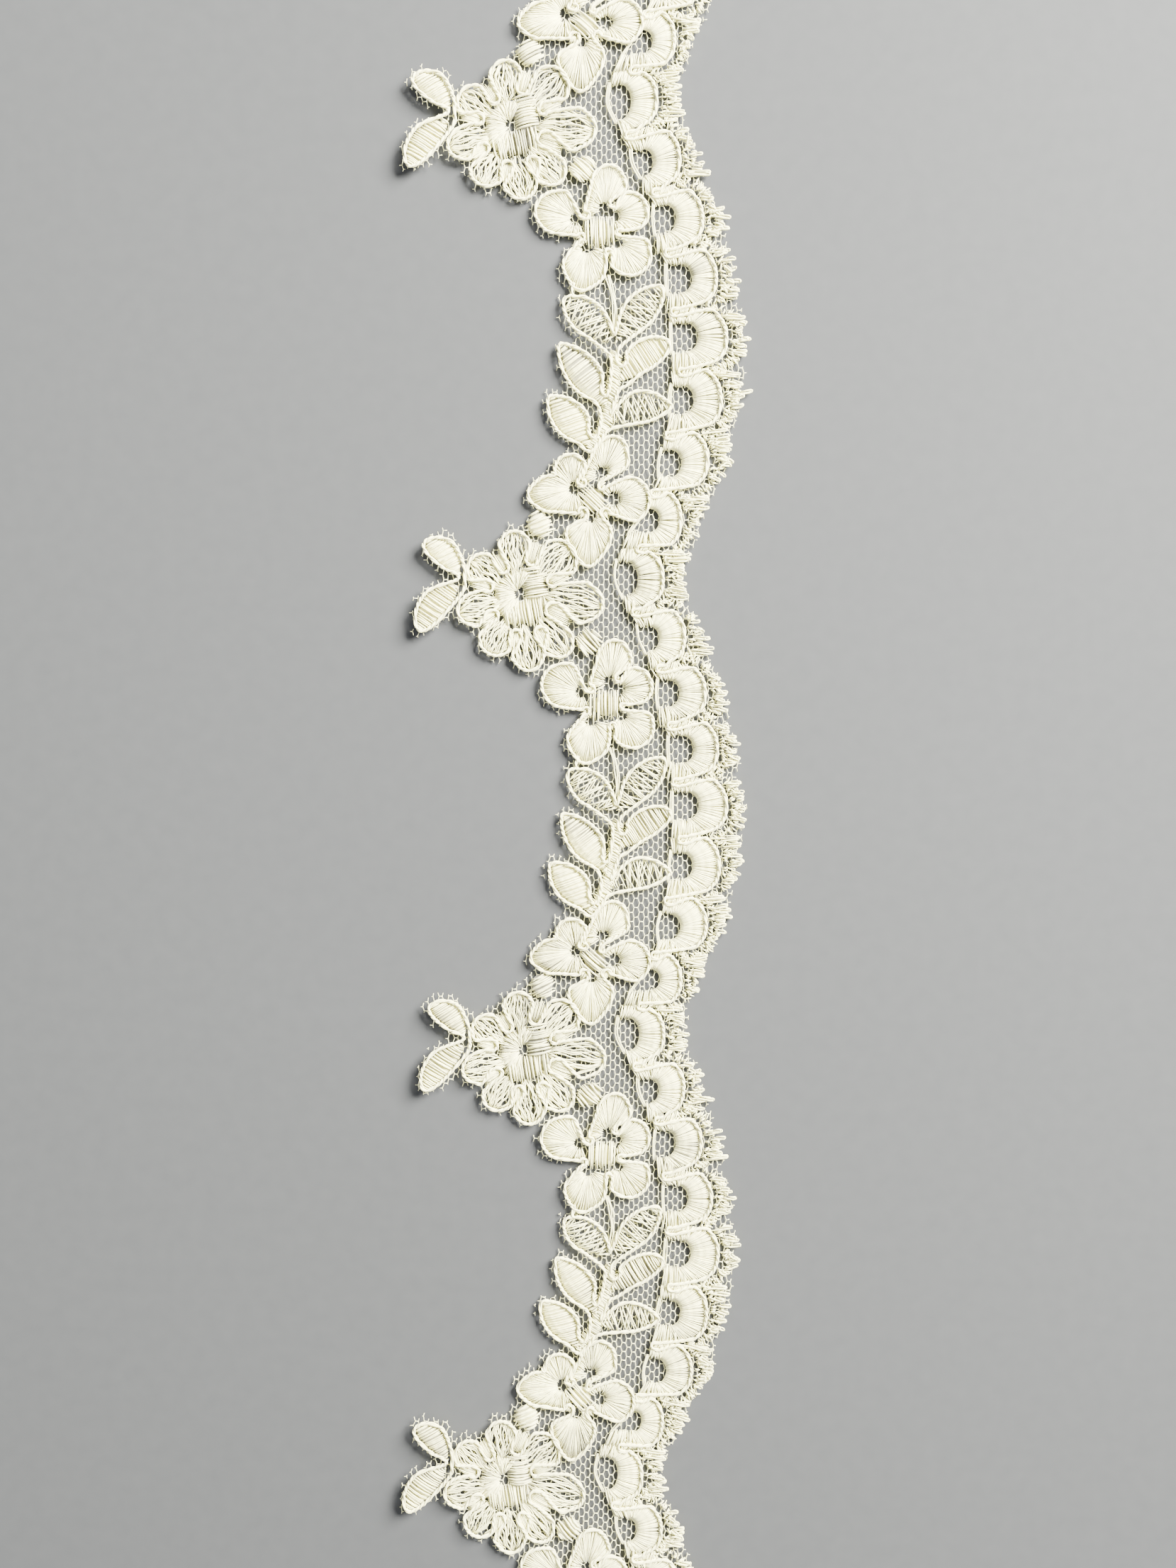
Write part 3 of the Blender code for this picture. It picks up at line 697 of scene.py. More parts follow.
def lay_cord(skein, points, closed=False):
    """A couched cord of two strands twisted together along a smooth line through points."""
    line = smooth(points, CORD_STEP, closed)
    side = rights(line)
    along = np.arange(len(line)) * CORD_STEP
    phase = rng.uniform(0.0, 2.0 * np.pi)
    uneven = CORD_ROLL * np.sin(2.0 * np.pi * along / CORD_ROLL_LONG + phase)
    roll = 2.0 * np.pi * along / CORD_TWIST + uneven
    bob = CORD_BOB * np.sin(2.0 * np.pi * along / CORD_BOB_LONG + phase)
    for way in (-1.0, 1.0):
        across = line + side * (way * CORD_SPREAD * np.cos(roll))[:, None]
        height = CORD_HIGH + bob + way * CORD_SPREAD * np.sin(roll)
        path = np.column_stack((across, height))
        skein.tubes(path[None], CORD_STRAND, CORD, sides=CORD_SIDES, tone=rng.normal(0.0, 0.3))


def lay_thread(skein, line, radius):
    """A single fine thread along a line of points."""
    path = np.column_stack((line, np.full(len(line), FINE_HIGH)))
    skein.tubes(path[None], radius, SATIN)


def outward(turn, centre):
    """The inner end of a loop of the cord, and the way to it from a flower's centre."""
    apex = spot(turn)
    out = apex - spot(centre)
    return apex, out / np.linalg.norm(out)


def turn_points(turn, centre):
    """The line of the cord round the inner end of a loop, clockwise round a flower's centre."""
    apex, out = outward(turn, centre)
    clockwise = np.array((out[1], -out[0]))
    half = 0.5 * turn.wide
    points = []
    for turn_deg in (-90.0, -45.0, 0.0, 45.0, 90.0):
        around = math.radians(turn_deg)
        points.append(apex + out * half * (1.0 - math.cos(around)) + clockwise * half * math.sin(around))
    return [points[0] + out * turn.deep, *points, points[-1] + out * turn.deep]


def xy(rows):
    """The places of the rows of a table, for the line of a cord."""
    return [(row.across, row.along) for row in rows]


def knots(rows, number):
    """The places of the rows of a table in a repeat, for the line of a cord."""
    return xy(shifted_rows(rows, number))


def blade_side(blade, s, side):
    """Points on one edge of a blade, for the line of a cord."""
    return list(blade_points(blade, s, np.full(len(s), side)))


def blade_tip(blade):
    """The tip of a blade, for the line of a cord."""
    return list(blade_points(blade, [1.0], [0.0]))


def half_turn(turn, centre, second):
    """The second or the first half of a turn of the cord. A turn with no width is one point."""
    if not turn.wide:
        return [(turn.across, turn.along)]
    points = turn_points(turn, centre)
    return points[3:] if second else points[:4]


def petal_line(blade, before, after, centre, leaves):
    """The line of the cord round a petal, clockwise, from the middle of the loop before it to the next."""
    first = blade.belly + leaves
    side = [first, 0.5 * (first + 0.94), 0.94]
    points = half_turn(before, centre, True)
    points += blade_side(blade, side, 1.0) + blade_tip(blade) + blade_side(blade, side[::-1], -1.0)
    points += half_turn(after, centre, False)
    return points


def flower_cord(skein, blades, turns, centre, leaves=PETAL_LEAVES):
    """One cord clockwise round all the petals of a flower, with a loop inward after each one."""
    points = []
    for number, blade in enumerate(blades):
        points += petal_line(blade, turns[number - 1], turns[number], centre, leaves)[:-1]
    lay_cord(skein, points, closed=True)


def loop_fill(skein, turns, centre, past):
    """The stitches inside the loops of a flower's cord, and how far past the loops they go."""
    for turn in turns:
        if not turn.wide:
            continue
        apex, out = outward(turn, centre)
        beside = np.array((-out[1], out[0]))
        many = max(4, round((turn.wide - 0.2) / LOOP_PITCH))
        offsets = np.linspace(-0.5, 0.5, many) * (turn.wide - 0.6)
        starts = apex + out * 0.45 + beside * offsets[:, None]
        reach = turn.wide + turn.deep + past + rng.normal(0.0, 0.3, (many, 1))
        ends = apex + out * reach + beside * offsets[:, None] * 1.2
        skein.satin(stitches(starts, ends, high=LOOP_HIGH), LOOP_THREAD)


def fan(skein, blade, before, after, centre, eye):
    """Satin stitches that fan out from an eye to the cord round a petal, and the padding under them."""
    line = smooth(petal_line(blade, before, after, centre, PETAL_LEAVES), FAN_STEP)
    line = line + rights(line) * SATIN_UNDER_CORD
    many = round(len(line) * FAN_STEP / SATIN_PITCH)
    at = np.linspace(0.02, 0.98, many) * (len(line) - 1) + rng.normal(0.0, 0.35, many)
    ends = line[np.clip(at.round().astype(int), 0, len(line) - 1)]
    eye = spot(eye)
    away = ends - eye
    distance = np.linalg.norm(away, axis=1, keepdims=True)
    gap = np.tile(FAN_GAPS, many)[:many, None] + rng.normal(0.0, 0.12, (many, 1))
    starts = eye + away / distance * np.minimum(gap, 0.6 * distance)
    skein.satin(stitches(starts, ends, low=SATIN_EDGE), SATIN_THREAD)
    outer = line[np.round(np.linspace(0.03, 0.97, 13) * (len(line) - 1)).astype(int)]
    away = outer - eye
    inner = eye + away / np.linalg.norm(away, axis=1, keepdims=True) * FAN_PAD
    return inner, outer


def wavy_fill(skein, blade):
    """Loose stitches that run up a petal, with gaps that show the net."""
    offsets = np.linspace(-0.95, 0.95, WAVY_THREADS) + rng.normal(0.0, 0.05, WAVY_THREADS)
    offsets = np.clip(offsets, -0.97, 0.97)
    leans = rng.normal(0.0, WAVY_LEAN, WAVY_THREADS)
    _, to_left = bearing_axes(blade.bearing)
    crown = np.sqrt(np.sin(np.pi * np.linspace(0.0, 1.0, WAVY_POINTS)))
    paths = np.zeros((WAVY_THREADS, WAVY_POINTS, 3))
    for path, offset, lean in zip(paths, offsets, leans):
        low = 0.5 - 0.5 * math.sqrt(max(0.02, 1.0 - offset * offset)) + rng.uniform(0.0, 0.04)
        s = np.linspace(low * 0.8, 1.0 - low * 0.55, WAVY_POINTS)
        points = blade_points(blade, s, np.clip(offset * 0.93 + lean * (s - 0.5), -0.95, 0.95))
        sway = WAVY_SWAY * np.sin(2.0 * np.pi * s * rng.uniform(1.6, 2.6) + rng.uniform(0.0, 6.3))
        path[:, :2] = points + to_left * sway[:, None]
        path[:, 2] = SATIN_LOW + WAVY_RISE * crown + rng.normal(0.0, 0.05)
    skein.satin(paths, WAVY_THREAD)


def cross_fill(skein, blade, bearing, pitch=0.43, thread=0.2, high=SATIN_HIGH, stray=0.28, skew=0.12):
    """Parallel stitches across a leaf, at a bearing from its axis."""
    starts, ends = hatch(blade_outline(blade, -0.1), blade.bearing + bearing, pitch, stray)
    axis, _ = bearing_axes(blade.bearing)
    starts = starts + axis * rng.normal(0.0, skew, (len(starts), 1))
    ends = ends + axis * rng.normal(0.0, skew, (len(ends), 1))
    skein.satin(stitches(starts, ends, high=high), thread)


def block(skein, row):
    """A block of parallel stitches."""
    axis, to_left = bearing_axes(row.bearing)
    offsets = np.arange(-0.5 * row.wide, 0.5 * row.wide, row.pitch)
    many = len(offsets)
    offsets = offsets + rng.normal(0.0, 0.1, many)
    starts = spot(row) + to_left * offsets[:, None] + axis * rng.normal(0.0, 0.12, (many, 1))
    ends = starts + axis * (row.long + rng.normal(0.0, row.ragged, (many, 1)))
    paths = stitches(starts, ends, high=row.high, rise=0.1, sway=0.14)
    skein.satin(paths, BLOCK_THREAD)


def rose(number):
    """A rose: its open petals, the blocks and the ring of stitches over its middle, and its cord."""
    skein = Skein(f"rose_threads_{number + 1}")
    blades = shifted_rows(ROSE, number)
    centre = shifted(ROSE_CENTRE, number)
    for blade in blades:
        wavy_fill(skein, blade)
    for row in ROSE_BLOCKS:
        block(skein, shifted(row, number))
    ways = round_ways(np.arange(70.0, 262.0, 3.0))
    many = len(ways)
    gap = np.tile(RING_GAPS, many)[:many, None] + rng.uniform(-0.3, 0.5, (many, 1))
    starts = spot(shifted(ROSE_EYE, number)) + ways * gap * (0.8, 1.15)
    ends = spot(centre) + ways * (RING_RADIUS + rng.normal(0.0, 0.45, many))[:, None]
    skein.satin(stitches(starts, ends, high=RING_HIGH, rise=0.1), RING_THREAD)
    turns = shifted_rows(ROSE_TURNS, number)
    loop_fill(skein, turns, centre, past=1.5)
    flower_cord(skein, blades, turns, centre, ROSE_LEAVES)
    return skein


def tail(number):
    """The pair of small leaves behind a rose, with one cord round both."""
    skein = Skein(f"leaf_pair_threads_{number + 1}")
    upper, lower = shifted_rows(TAIL, number)
    cross_fill(skein, upper, 74)
    cross_fill(skein, lower, 98)
    s = TAIL_SHARES
    points = blade_side(upper, s, 1.0) + blade_tip(upper) + blade_side(upper, s[:0:-1], -1.0)
    points += knots(TAIL_JOINT, number)
    points += blade_side(lower, s[1:], 1.0) + blade_tip(lower) + blade_side(lower, s[::-1], -1.0)
    points += knots(TAIL_FOLD, number)
    lay_cord(skein, points, closed=True)
    return skein


def small_flower(flower, number):
    """A flower of five petals, with a block of stitches over its middle."""
    skein = Skein(f"{flower.name}_threads_{number + 1}")
    blades = shifted_rows(flower.blades, number)
    turns = shifted_rows(flower.turns, number)
    centre = shifted(flower.centre, number)
    for petal, (blade, eye) in enumerate(zip(blades, shifted_rows(flower.eyes, number))):
        padding.append(fan(skein, blade, turns[petal - 1], turns[petal], centre, eye))
    loop_fill(skein, turns, centre, past=-0.9)
    flower_cord(skein, blades, turns, centre)
    block(skein, shifted(flower.block, number))
    return skein


def dot(row, number):
    """A round dot of satin."""
    skein = Skein(f"{row.name}_threads_{number + 1}")
    starts, ends = hatch(disc_outline(shifted(row, number), 0.25), row.bearing, DOT_PITCH, 0.14)
    ends = ends + rng.normal(0.0, 0.2, ends.shape)
    starts = starts + rng.normal(0.0, 0.2, starts.shape)
    paths = stitches(starts, ends, high=DOT_HIGH, sway=0.16, rise=0.1)
    skein.satin(paths, DOT_THREAD)
    return skein


def side_cord(skein, points, blades, hooks, way, shares, end):
    """Lays a cord past the leaves on one side of a spray. It has reached the first one by its tip."""
    for blade, after, hook in zip(blades, blades[1:], hooks):
        points += blade_tip(blade) + blade_side(blade, SPRAY_SHARES[:0:-1], -way)
        points += hook + blade_side(after, SPRAY_SHARES[1:], way)
    points += blade_tip(blades[-1]) + blade_side(blades[-1], shares, -way)
    lay_cord(skein, points + end)


def leaf_spray(number):
    """A spray of six leaves, with the satin of its stem, a cord down each side and a fine stem above."""
    skein = Skein(f"leaf_spray_threads_{number + 1}")
    blades = {blade.name: shifted(blade, number) for blade in SPRAY}
    for leaf in CLOSE_LEAVES:
        cross_fill(skein, blades[leaf.name], leaf.bearing, leaf.pitch)
    for leaf in OPEN_LEAVES:
        blade = blades[leaf.name]
        cross_fill(skein, blade, leaf.over, pitch=0.7, thread=0.165, stray=0.35, skew=0.4)
        cross_fill(skein, blade, leaf.under, pitch=0.9, thread=0.15, high=1.2, stray=0.4, skew=0.5)
    stem = shifted_rows(STEM, number)
    middle = smooth(xy(stem), STEM_PITCH)
    width = np.interp(-middle[:, 1], [-row.along for row in stem], [row.width for row in stem])[:, None]
    slant = np.array(STEM_SLANT)
    starts = middle - slant * width + rng.normal(0.0, 0.15, middle.shape)
    ends = middle + slant * width + rng.normal(0.0, 0.15, middle.shape)
    skein.satin(stitches(starts, ends), STEM_THREAD)
    padding.append((middle - 0.75 * slant * width, middle + 0.75 * slant * width))
    left = [blades[name] for name in ("left_1", "left_2", "left_3")]
    right = [blades[name] for name in ("right_1", "right_2", "right_3")]
    s = SPRAY_SHARES
    points = knots((FLOWER_A_TIP,), number) + blade_side(left[0], s[::-1], -1.0)
    points += knots((FORK,), number) + blade_side(right[0], s, 1.0)
    hooks = [knots(hook, number) for hook in RIGHT_HOOKS]
    side_cord(skein, points, right, hooks, 1.0, s[:0:-1], knots(RIGHT_END, number))
    points = blade_side(left[0], s[-1:], -1.0)
    hooks = [knots(hook, number) for hook in LEFT_HOOKS]
    side_cord(skein, points, left, hooks, -1.0, s[::-1], knots(LEFT_END, number))
    for beside in (-0.32, 0.05, 0.36):
        line = smooth(np.array(knots(FINE_STEM, number)) + (beside, 0.0), 0.6)
        line[:, 0] += 0.1 * np.sin(line[:, 1] + 5.0 * beside)
        lay_thread(skein, line, 0.17)
    return skein


def arm(skein, above, below, back):
    """The satin between two holes of the border: from each, stitches run to the hairpin of the cord."""
    half = 0.5 * back.wide
    middle = 0.5 * (above.arm_below + below.arm_above)
    for hole, left, way in ((above, above.arm_below, -1.0), (below, below.arm_above, 1.0)):
        many = round((hole.across + 2.2 - left) / ARM_PITCH)
        share = np.linspace(0.0, 1.0, many)
        foot = left + 0.3 + (hole.across + 1.5 - left) * share + rng.normal(0.0, 0.15, many)
        head = middle - 0.1 + (hole.across + 2.2 - middle) * share + rng.normal(0.0, 0.3, many)
        outside = head < back.across + 0.3
        reach = np.where(outside, 0.15 * way, -0.75 * half * way) + rng.normal(0.0, 0.12, many)
        edge = hole.along + way * 0.48 * hole.hole_high + way * rng.normal(0.0, 0.16, many)
        starts = np.column_stack((foot, edge))
        ends = np.column_stack((head, back.along + reach))
        skein.satin(stitches(starts, ends, high=ARM_HIGH), ARM_THREAD)
    across = np.linspace(0.1, 0.9, 4)
    edges = []
    for hole, left, way in ((below, below.arm_above, 1.0), (above, above.arm_below, -1.0)):
        edge = np.full(4, hole.along + way * (0.5 * hole.hole_high + 0.3))
        edges.append(np.column_stack((left + 0.2 + (hole.across + 2.0 - left) * across, edge)))
    padding.append(tuple(edges))


def mouth_threads(skein, here):
    """The fine threads that run down past the hole of a scallop, on its left."""
    high = 0.5 * here.hole_high
    for beside in (-0.25, 0.0, 0.22):
        line = smooth((
            (here.arm_above + beside, here.along + high + 0.6),
            (here.across - 0.5 * here.hole_wide + beside + rng.normal(0.0, 0.1), here.along),
            (here.arm_below + beside, here.along - high - 0.6),
        ), 1.0)
        lay_thread(skein, line, 0.15)


def hairpin(back):
    """The line of the cord where it turns back below a scallop."""
    half = 0.5 * back.wide
    points = [(back.across + back.deep + half, back.along + half)]
    for turn_deg in (70.0, 35.0, 0.0, -35.0, -70.0):
        around = math.radians(turn_deg)
        out = half * (1.0 - math.cos(around))
        points.append((back.across + out, back.along + half * math.sin(around)))
    points.append((back.across + back.deep + half, back.along - half))
    return points


def hairpin_fill(skein, back):
    """The short stitches between the two legs of the cord there."""
    offsets = np.arange(0.35, 4.4, HAIRPIN_PITCH)
    many = len(offsets)
    offsets = offsets + rng.normal(0.0, 0.06, many)
    foot = np.column_stack((back.across + offsets, back.along - 0.5 * back.wide + 0.12 * offsets))
    top = foot + np.column_stack((np.full(many, 0.75), back.wide - 0.1 + 0.18 * offsets))
    skein.satin(stitches(foot, top, high=HAIRPIN_HIGH, count=3), LOOP_THREAD)


def border():
    """The satin of the scallops, and the one cord that runs round all of them."""
    skein = Skein("border_threads")
    cord = []
    for number in range(FIRST_SCALLOP, LAST_SCALLOP + 1):
        turns_deg = np.linspace(SATIN_TURN_DEG, -SATIN_TURN_DEG, SCALLOP_STITCHES)
        turns_deg = turns_deg + rng.normal(0.0, 0.7, SCALLOP_STITCHES)
        inner, outer = hole_edge(number, 0.0, turns_deg), lobe_edge(number, -0.7, turns_deg)
        skein.satin(stitches(inner, outer, low=SATIN_EDGE), SATIN_THREAD)
        mouth_threads(skein, scallop_at(number))
        cord.extend(lobe_edge(number, -0.4, (58.0, 38.0, 19.0, 0.0, -19.0, -38.0, -58.0)))
        if number < LAST_SCALLOP:
            back = scallop_turn(number)
            arm(skein, scallop_at(number), scallop_at(number + 1), back)
            hairpin_fill(skein, back)
            cord.extend(hairpin(back))
    lay_cord(skein, cord)
    return skein


def tufts(skein, number):
    """The pairs of looped tufts outside a scallop."""
    t = np.array((0.0, 0.4, 0.8, 0.95, 1.0, 1.0, 0.95, 0.8, 0.4))
    lane = np.array((0.0, 0.0, -0.02, 0.03, 0.15, 0.33, 0.45, 0.5, 0.48))
    top, bottom = notch_below(number - 1), notch_below(number)
    rows = np.arange(bottom + 2.3, top - 1.1, TUFT_PITCH)
    pairs = len(rows)
    many = 2 * pairs
    rows = np.repeat(rows, 2) + np.tile((0.0, TUFT_SECOND), pairs) + rng.normal(0.0, 0.2, many)
    share = 2.0 * (rows - 0.5 * (top + bottom)) / (top - bottom)
    root = lobe_edge(number, 0.5, np.degrees(np.arcsin(np.clip(share, -0.97, 0.97))))[:, 0]
    root = root + rng.uniform(0.7, 1.9, many)
    tip = fringe_line(rows) + TUFT_REACH - TUFT_ROUND * share**2 + rng.normal(0.0, 0.6, many)
    tip = tip - np.tile((TUFT_SHORTER, 0.0), pairs)
    lean = rng.normal(-0.05, 0.55, (many, 1))
    wave = 0.09 * np.sin(6.0 * t + rng.uniform(0.0, 6.3, (many, 1)))
    layer = np.tile((0.0, FRINGE_LAYER), pairs)[:, None]
    paths = np.zeros((many, len(t), 3))
    paths[:, :, 0] = root[:, None] + (tip - root)[:, None] * t
    paths[:, :, 1] = rows[:, None] + lane + lean * t + wave + rng.normal(0.0, 0.03, (many, len(t)))
    paths[:, :, 2] = FRINGE_HIGH + layer + rng.normal(0.0, 0.08, (many, len(t)))
    skein.satin(paths, TUFT_THREAD, tone=0.8)


def short_stitches(skein, number):
    """The short stitches outside a scallop, which the tufts grow from."""
    turns_deg = rng.uniform(-82.0, 82.0, SHORT_STITCHES)
    out = rng.uniform(0.1, 1.6, SHORT_STITCHES)[:, None]
    start = lobe_edge(number, 0.0, turns_deg)
    ahead = lobe_edge(number, 1.0, turns_deg) - start
    ahead /= np.linalg.norm(ahead, axis=1, keepdims=True) + 1e-9
    lie = np.radians(rng.normal(0.0, 26.0, SHORT_STITCHES))[:, None]
    way = np.cos(lie) * ahead + np.sin(lie) * ahead[:, ::-1] * (-1.0, 1.0)
    start = start + ahead * out
    end = start + way * rng.uniform(0.8, 1.9, (SHORT_STITCHES, 1))
    paths = stitches(start, end, low=0.72, high=1.1, count=3, sway=0.12)
    skein.satin(paths, SHORT_THREAD, tone=0.3)


def fringe():
    """The fringe outside the border."""
    skein = Skein("fringe_threads")
    for number in range(FIRST_SCALLOP, LAST_SCALLOP + 1):
        tufts(skein, number)
        short_stitches(skein, number)
    return skein


def pads(skein):
    """The padding under the close satin, which shows between the stitches as painted shade."""
    close = [leaf.name for leaf in CLOSE_LEAVES]
    for inner, outer in padding:
        skein.band(inner, outer)
    for number in range(REPEATS):
        blades = [*TAIL]
        if number < REPEATS - 1:
            blades += [blade for blade in SPRAY if blade.name in close]
        for blade in blades:
            skein.pad(blade_outline(shifted(blade, number), -0.25, 7))
        for disc in (*DOTS, *FLOWER_PADS):
            skein.pad(disc_outline(shifted(disc, number), -0.2, 14))
        ways = round_ways(np.linspace(0.0, -356.0, 25))
        inner, outer = RING_PAD
        eye, centre = spot(shifted(ROSE_EYE, number)), spot(shifted(ROSE_CENTRE, number))
        skein.band(eye + inner * ways, centre + outer * ways)
    turns_deg = np.linspace(SATIN_TURN_DEG, -SATIN_TURN_DEG, 10)
    for number in range(FIRST_SCALLOP, LAST_SCALLOP + 1):
        skein.band(hole_edge(number, 0.3, turns_deg), lobe_edge(number, -0.8, turns_deg))


def net_outlines():
    """The outlines that the net fills: a band up the middle, and a margin round every motif."""
    left, right = [], []
    for number in range(FIRST_SCALLOP, LAST_SCALLOP + 1):
        here = scallop_at(number)
        along = {FIRST_SCALLOP: TOP_CUT, LAST_SCALLOP: BOTTOM_CUT}.get(number, here.along)
        left.append((here.across - NET_BAND_WIDE, along))
        for step in (NET_EDGE_STEP, 0.0, -NET_EDGE_STEP):
            beside = np.clip(along + step, BOTTOM_CUT, TOP_CUT)
            right.append((fringe_line(beside) + NET_PAST_FRINGE, beside))
    found = [np.array(left + right[::-1])]
    for number in range(REPEATS):
        blades = [*ROSE, *TAIL, *FLOWER_A, *FLOWER_B, *(SPRAY if number < REPEATS - 1 else ())]
        for blade in blades:
            found.append(blade_outline(shifted(blade, number), 0.5 * CORD_WIDE + NET_MARGIN, 6))
        for disc in (*DOTS, ROSE_CENTRE):
            found.append(disc_outline(shifted(disc, number), NET_MARGIN))
    return found


def filled(kept):
    """A grid of kept places, with the gaps that its outline closes in kept as well."""
    grown = ~np.pad(kept, 1)
    reached = np.zeros_like(grown)
    reached[0] = True
    count = 0
    while reached.sum() != count:
        count = reached.sum()
        reached[1:] |= reached[:-1]
        reached[:-1] |= reached[1:]
        reached[:, 1:] |= reached[:, :-1]
        reached[:, :-1] |= reached[:, 1:]
        reached &= grown
    return ~reached[1:-1, 1:-1]


def net():
    """The hexagonal net, as side threads that zigzag up the length and short bars, and its area in mm2."""
    skein = Skein("net_threads")
    columns = np.arange(*NET_COLUMNS)
    rows = np.arange(math.floor(BOTTOM_CUT / NET_ALONG), math.ceil(TOP_CUT / NET_ALONG) + 1)
    bulge = np.where((columns[:, None] + rows) % 2 == 0, 1.0, -1.0)
    points = np.zeros((len(columns), len(rows), 3))
    points[..., 0] = columns[:, None] * NET_ACROSS + NET_ZIGZAG * bulge
    points[..., 1] = rows * NET_ALONG
    points[..., :2] += rng.normal(0.0, NET_STRAY, points[..., :2].shape)
    points[..., 2] = NET_HIGH + rng.normal(0.0, 0.03, points.shape[:2])
    flat = points[..., :2].reshape(-1, 2)
    kept = np.zeros(len(flat), dtype=bool)
    for outline in net_outlines():
        kept |= inside(flat, outline)
    kept = filled(kept.reshape(points.shape[:2]))
    ringed = np.pad(kept, 1)
    within = ringed[:-2, 1:-1] & ringed[2:, 1:-1] & ringed[1:-1, :-2] & ringed[1:-1, 2:]
    kept &= within | (rng.uniform(0.0, 1.0, kept.shape) > NET_CUT_SHARE)
    for column in range(len(columns)):
        marks = np.flatnonzero(np.diff(np.concatenate(((False,), kept[column], (False,))).astype(int)))
        for start, stop in zip(marks[::2], marks[1::2]):
            first, last = max(0, start - 1), min(len(rows) - 1, stop)
            path = points[column, first:last + 1].copy()
            if first < start:
                path[0] += (path[1] - path[0]) * rng.uniform(0.15, 0.75)
            if last == stop and len(path) > 1:
                path[-1] += (path[-2] - path[-1]) * rng.uniform(0.15, 0.75)
            if len(path) > 1:
                skein.tubes(path[None], NET_THREAD, NET, sides=3, blunt=0.8)
    barred = kept[:-1] & kept[1:] & (bulge[:-1] > 0.0)
    ends = np.stack((points[:-1][barred], points[1:][barred]), axis=1)
    skein.tubes(ends, NET_BAR, NET, sides=3, blunt=1.0)
    cut = (kept[:-1] != kept[1:]) & (bulge[:-1] > 0.0)
    here, there = points[:-1][cut], points[1:][cut]
    home = np.where(kept[:-1][cut][:, None], here, there)
    away = np.where(kept[:-1][cut][:, None], there, here)
    tips = home + (away - home) * rng.uniform(0.3, 0.9, (len(home), 1))
    skein.tubes(np.stack((home, tips), axis=1), NET_BAR, NET, sides=3, blunt=0.8)
    return skein, kept.sum() * NET_ACROSS * NET_ALONG


def link(name, data):
    """A new object of the scene."""
    made = bpy.data.objects.new(name, data)
    bpy.context.scene.collection.objects.link(made)
    return made


def node(nodes, kind, **inputs):
    """A new shader node with some of its inputs set. Their names have _ for a space."""
    made = nodes.new("ShaderNode" + kind)
    for name, value in inputs.items():
        made.inputs[name.replace("_", " ")].default_value = value
    return made


def material(look):
    """Thread: its colour follows the tone of each thread, and its plies are bump."""
    made = bpy.data.materials.new(look.name)
    made.use_nodes = True
    nodes, links = made.node_tree.nodes, made.node_tree.links
    shader = nodes["Principled BSDF"]
    shader.inputs["Roughness"].default_value = look.roughness
    shader.inputs["Sheen Weight"].default_value = look.sheen
    shader.inputs["Sheen Roughness"].default_value = 0.5
    shader.inputs["Specular IOR Level"].default_value = 0.35
    tone = node(nodes, "Attribute")
    tone.attribute_name = "tone"
    where = node(nodes, "TexCoord")
    drift = node(nodes, "TexNoise", Scale=55.0, Detail=3.0)
    links.new(where.outputs["Object"], drift.inputs["Vector"])
    blend = node(nodes, "Math")
    blend.operation = "MULTIPLY_ADD"
    blend.inputs[1].default_value = 0.28
    links.new(tone.outputs["Fac"], blend.inputs[0])
    links.new(drift.outputs["Fac"], blend.inputs[2])
    ramp = node(nodes, "ValToRGB")
    colours = ramp.color_ramp.elements
    # The lowest colour of the ramp is painted shade, which the padding takes between the satin stitches
    colours[0].position = 0.12
    colours[0].color = (*look.deep, 1.0)
    colours.new(0.3).color = (*look.dark, 1.0)
    colours[-1].position = 0.85
    colours[-1].color = (*look.light, 1.0)
    links.new(blend.outputs["Value"], ramp.inputs["Fac"])
    links.new(ramp.outputs["Color"], shader.inputs["Base Color"])
    mapping = node(nodes, "Mapping", Scale=(1.0 / look.ply, 1.0, 1.0))
    links.new(where.outputs["UV"], mapping.inputs["Vector"])
    plies = node(nodes, "TexWave", Scale=0.32, Distortion=0.6)
    plies.bands_direction = "DIAGONAL"
    links.new(mapping.outputs["Vector"], plies.inputs["Vector"])
    relief = node(nodes, "Bump", Strength=look.bump, Distance=0.00006)
    links.new(plies.outputs["Fac"], relief.inputs["Height"])
    links.new(relief.outputs["Normal"], shader.inputs["Normal"])
    return made


def floor():
    """A plain pale table top."""
    data = bpy.data.meshes.new("table_top")
    half = 1.5
    corners = [(-half, -half, 0), (half, -half, 0), (half, half, 0), (-half, half, 0)]
    data.from_pydata(corners, [], [(0, 1, 2, 3)])
    look = bpy.data.materials.new("table_top")
    look.use_nodes = True
    nodes, links = look.node_tree.nodes, look.node_tree.links
    shader = nodes["Principled BSDF"]
    shader.inputs["Roughness"].default_value = 0.8
    shader.inputs["Specular IOR Level"].default_value = 0.2
    grain = node(nodes, "TexNoise", Scale=900.0)
    ramp = node(nodes, "ValToRGB")
    ramp.color_ramp.elements[0].color = (0.055, 0.058, 0.063, 1.0)
    ramp.color_ramp.elements[1].color = (0.065, 0.068, 0.073, 1.0)
    links.new(grain.outputs["Fac"], ramp.inputs["Fac"])
    links.new(ramp.outputs["Color"], shader.inputs["Base Color"])
    data.materials.append(look)
    link("table_top", data)


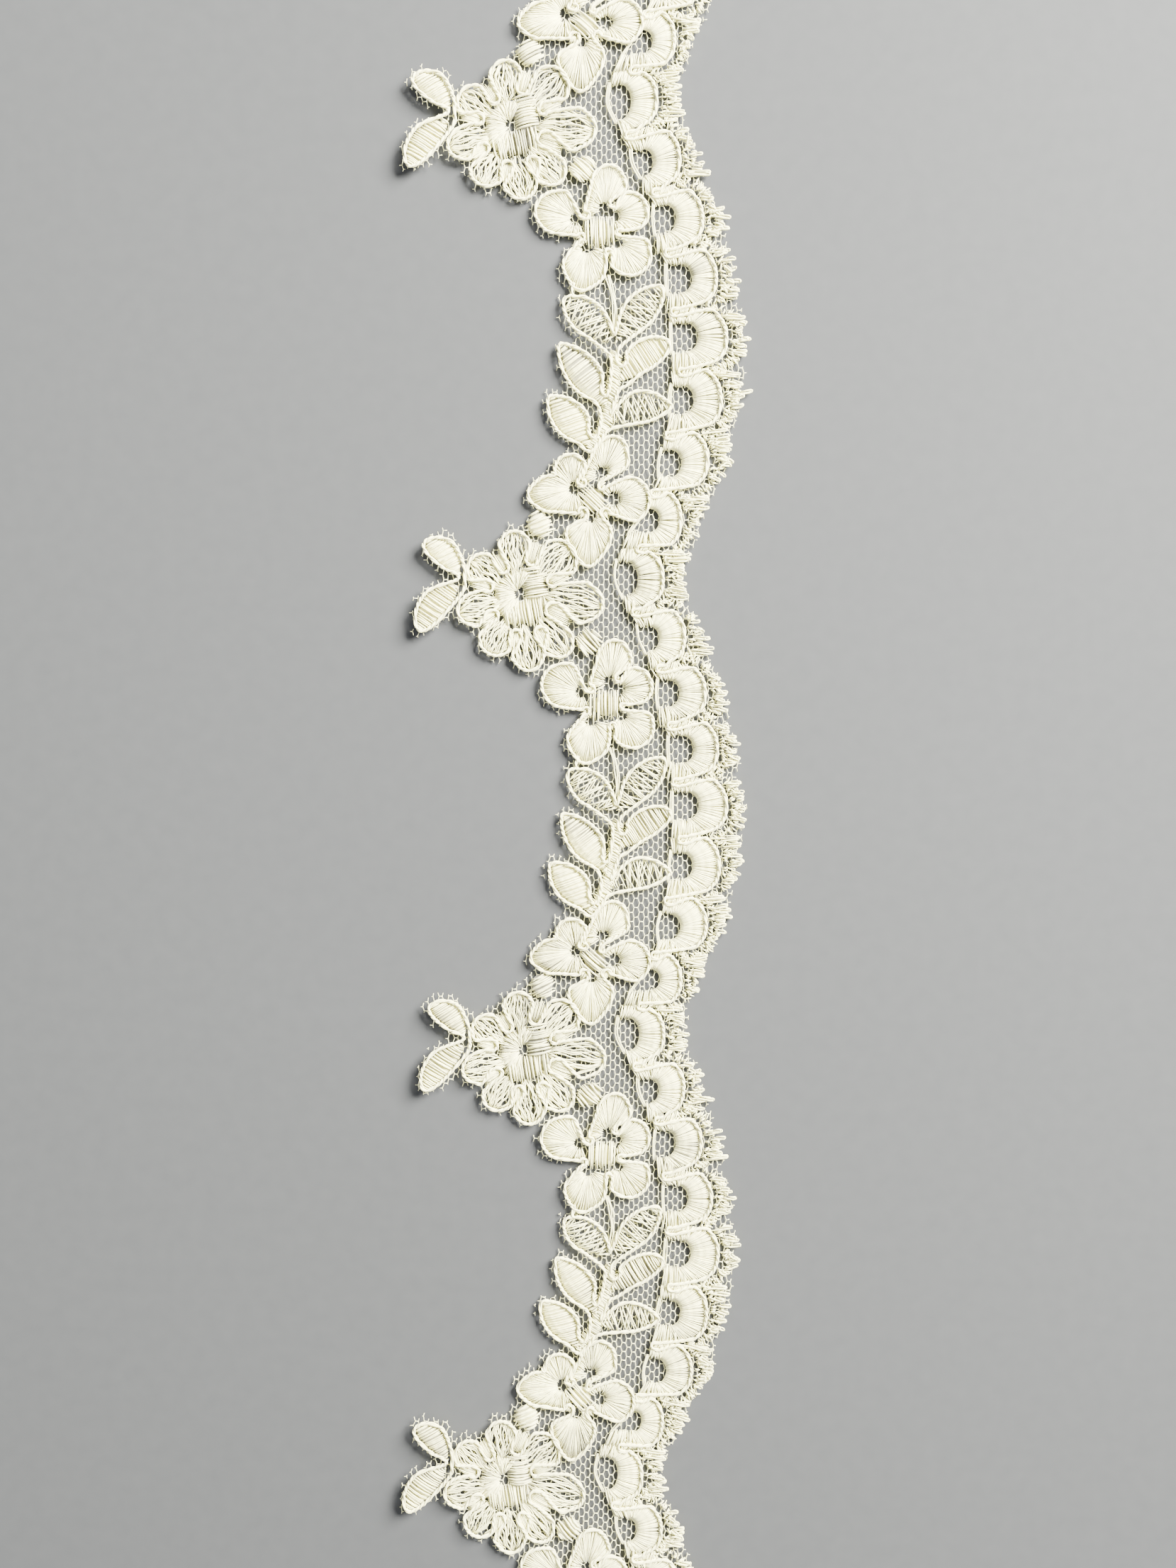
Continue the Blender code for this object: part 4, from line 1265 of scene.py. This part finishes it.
def light(row):
    """A square soft light that faces the middle of the edging."""
    data = bpy.data.lights.new(row.name, "AREA")
    data.size = row.size_m
    data.energy = row.watts
    data.color = row.colour
    made = link(row.name, data)
    made.location = row.place_m
    made.rotation_euler = Vector(row.place_m).to_track_quat("Z", "Y").to_euler()


def studio():
    """Soft light from the upper right, and a pale room."""
    for row in LIGHTS:
        light(row)
    world = bpy.data.worlds.new("room")
    bpy.context.scene.world = world
    world.use_nodes = True
    background = world.node_tree.nodes["Background"]
    background.inputs["Color"].default_value = (1.0, 0.99, 0.96, 1.0)
    background.inputs["Strength"].default_value = 0.5


def camera():
    """Looks down on the edging, a little from its upper end, and crops it at both ends."""
    target = Vector(CAMERA_TARGET) * MM
    tilt = math.radians(CAMERA_TILT_DEG)
    data = bpy.data.cameras.new("camera")
    data.sensor_fit = "HORIZONTAL"
    data.sensor_width = SENSOR_WIDE
    data.lens = SENSOR_WIDE * FOCUS_PX / PHOTO_WIDE_PX
    data.clip_start = 0.01
    made = link("camera", data)
    made.location = target - Vector((0.0, math.sin(tilt), -math.cos(tilt))) * CAMERA_AWAY_M
    made.rotation_euler = (tilt, 0.0, 0.0)
    bpy.context.scene.camera = made


def dress(skein, looks, nodes):
    """Makes the piece of a skein. It rides on the root, and stands for its CAD nodes."""
    piece = skein.piece(looks)
    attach(piece, "root")
    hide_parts(*nodes)
    return piece


def main():
    """Makes the scene. The motifs are made in this order, because they share one random generator."""
    camera()
    studio()
    floor()
    looks = [material(look) for look in LOOKS]
    high_dot, low_dot = DOTS
    for number in range(REPEATS):
        motifs = {
            "rose": rose(number),
            "rose_leaves": tail(number),
            "flower_low": small_flower(LOW, number),
            "flower_high": small_flower(HIGH, number),
            "dot_high": dot(high_dot, number),
            "dot_low": dot(low_dot, number),
        }
        if number < REPEATS - 1:
            motifs["leaf_spray"] = leaf_spray(number)
        for node, skein in motifs.items():
            dress(skein, looks, [f"{node}_{number + 1}"])
    dress(border(), looks, ["scallop_border"])
    dress(fringe(), looks, ["fringe"])
    skein, area = net()
    pads(skein)
    ground = dress(skein, looks, ["net_ground"])


main()
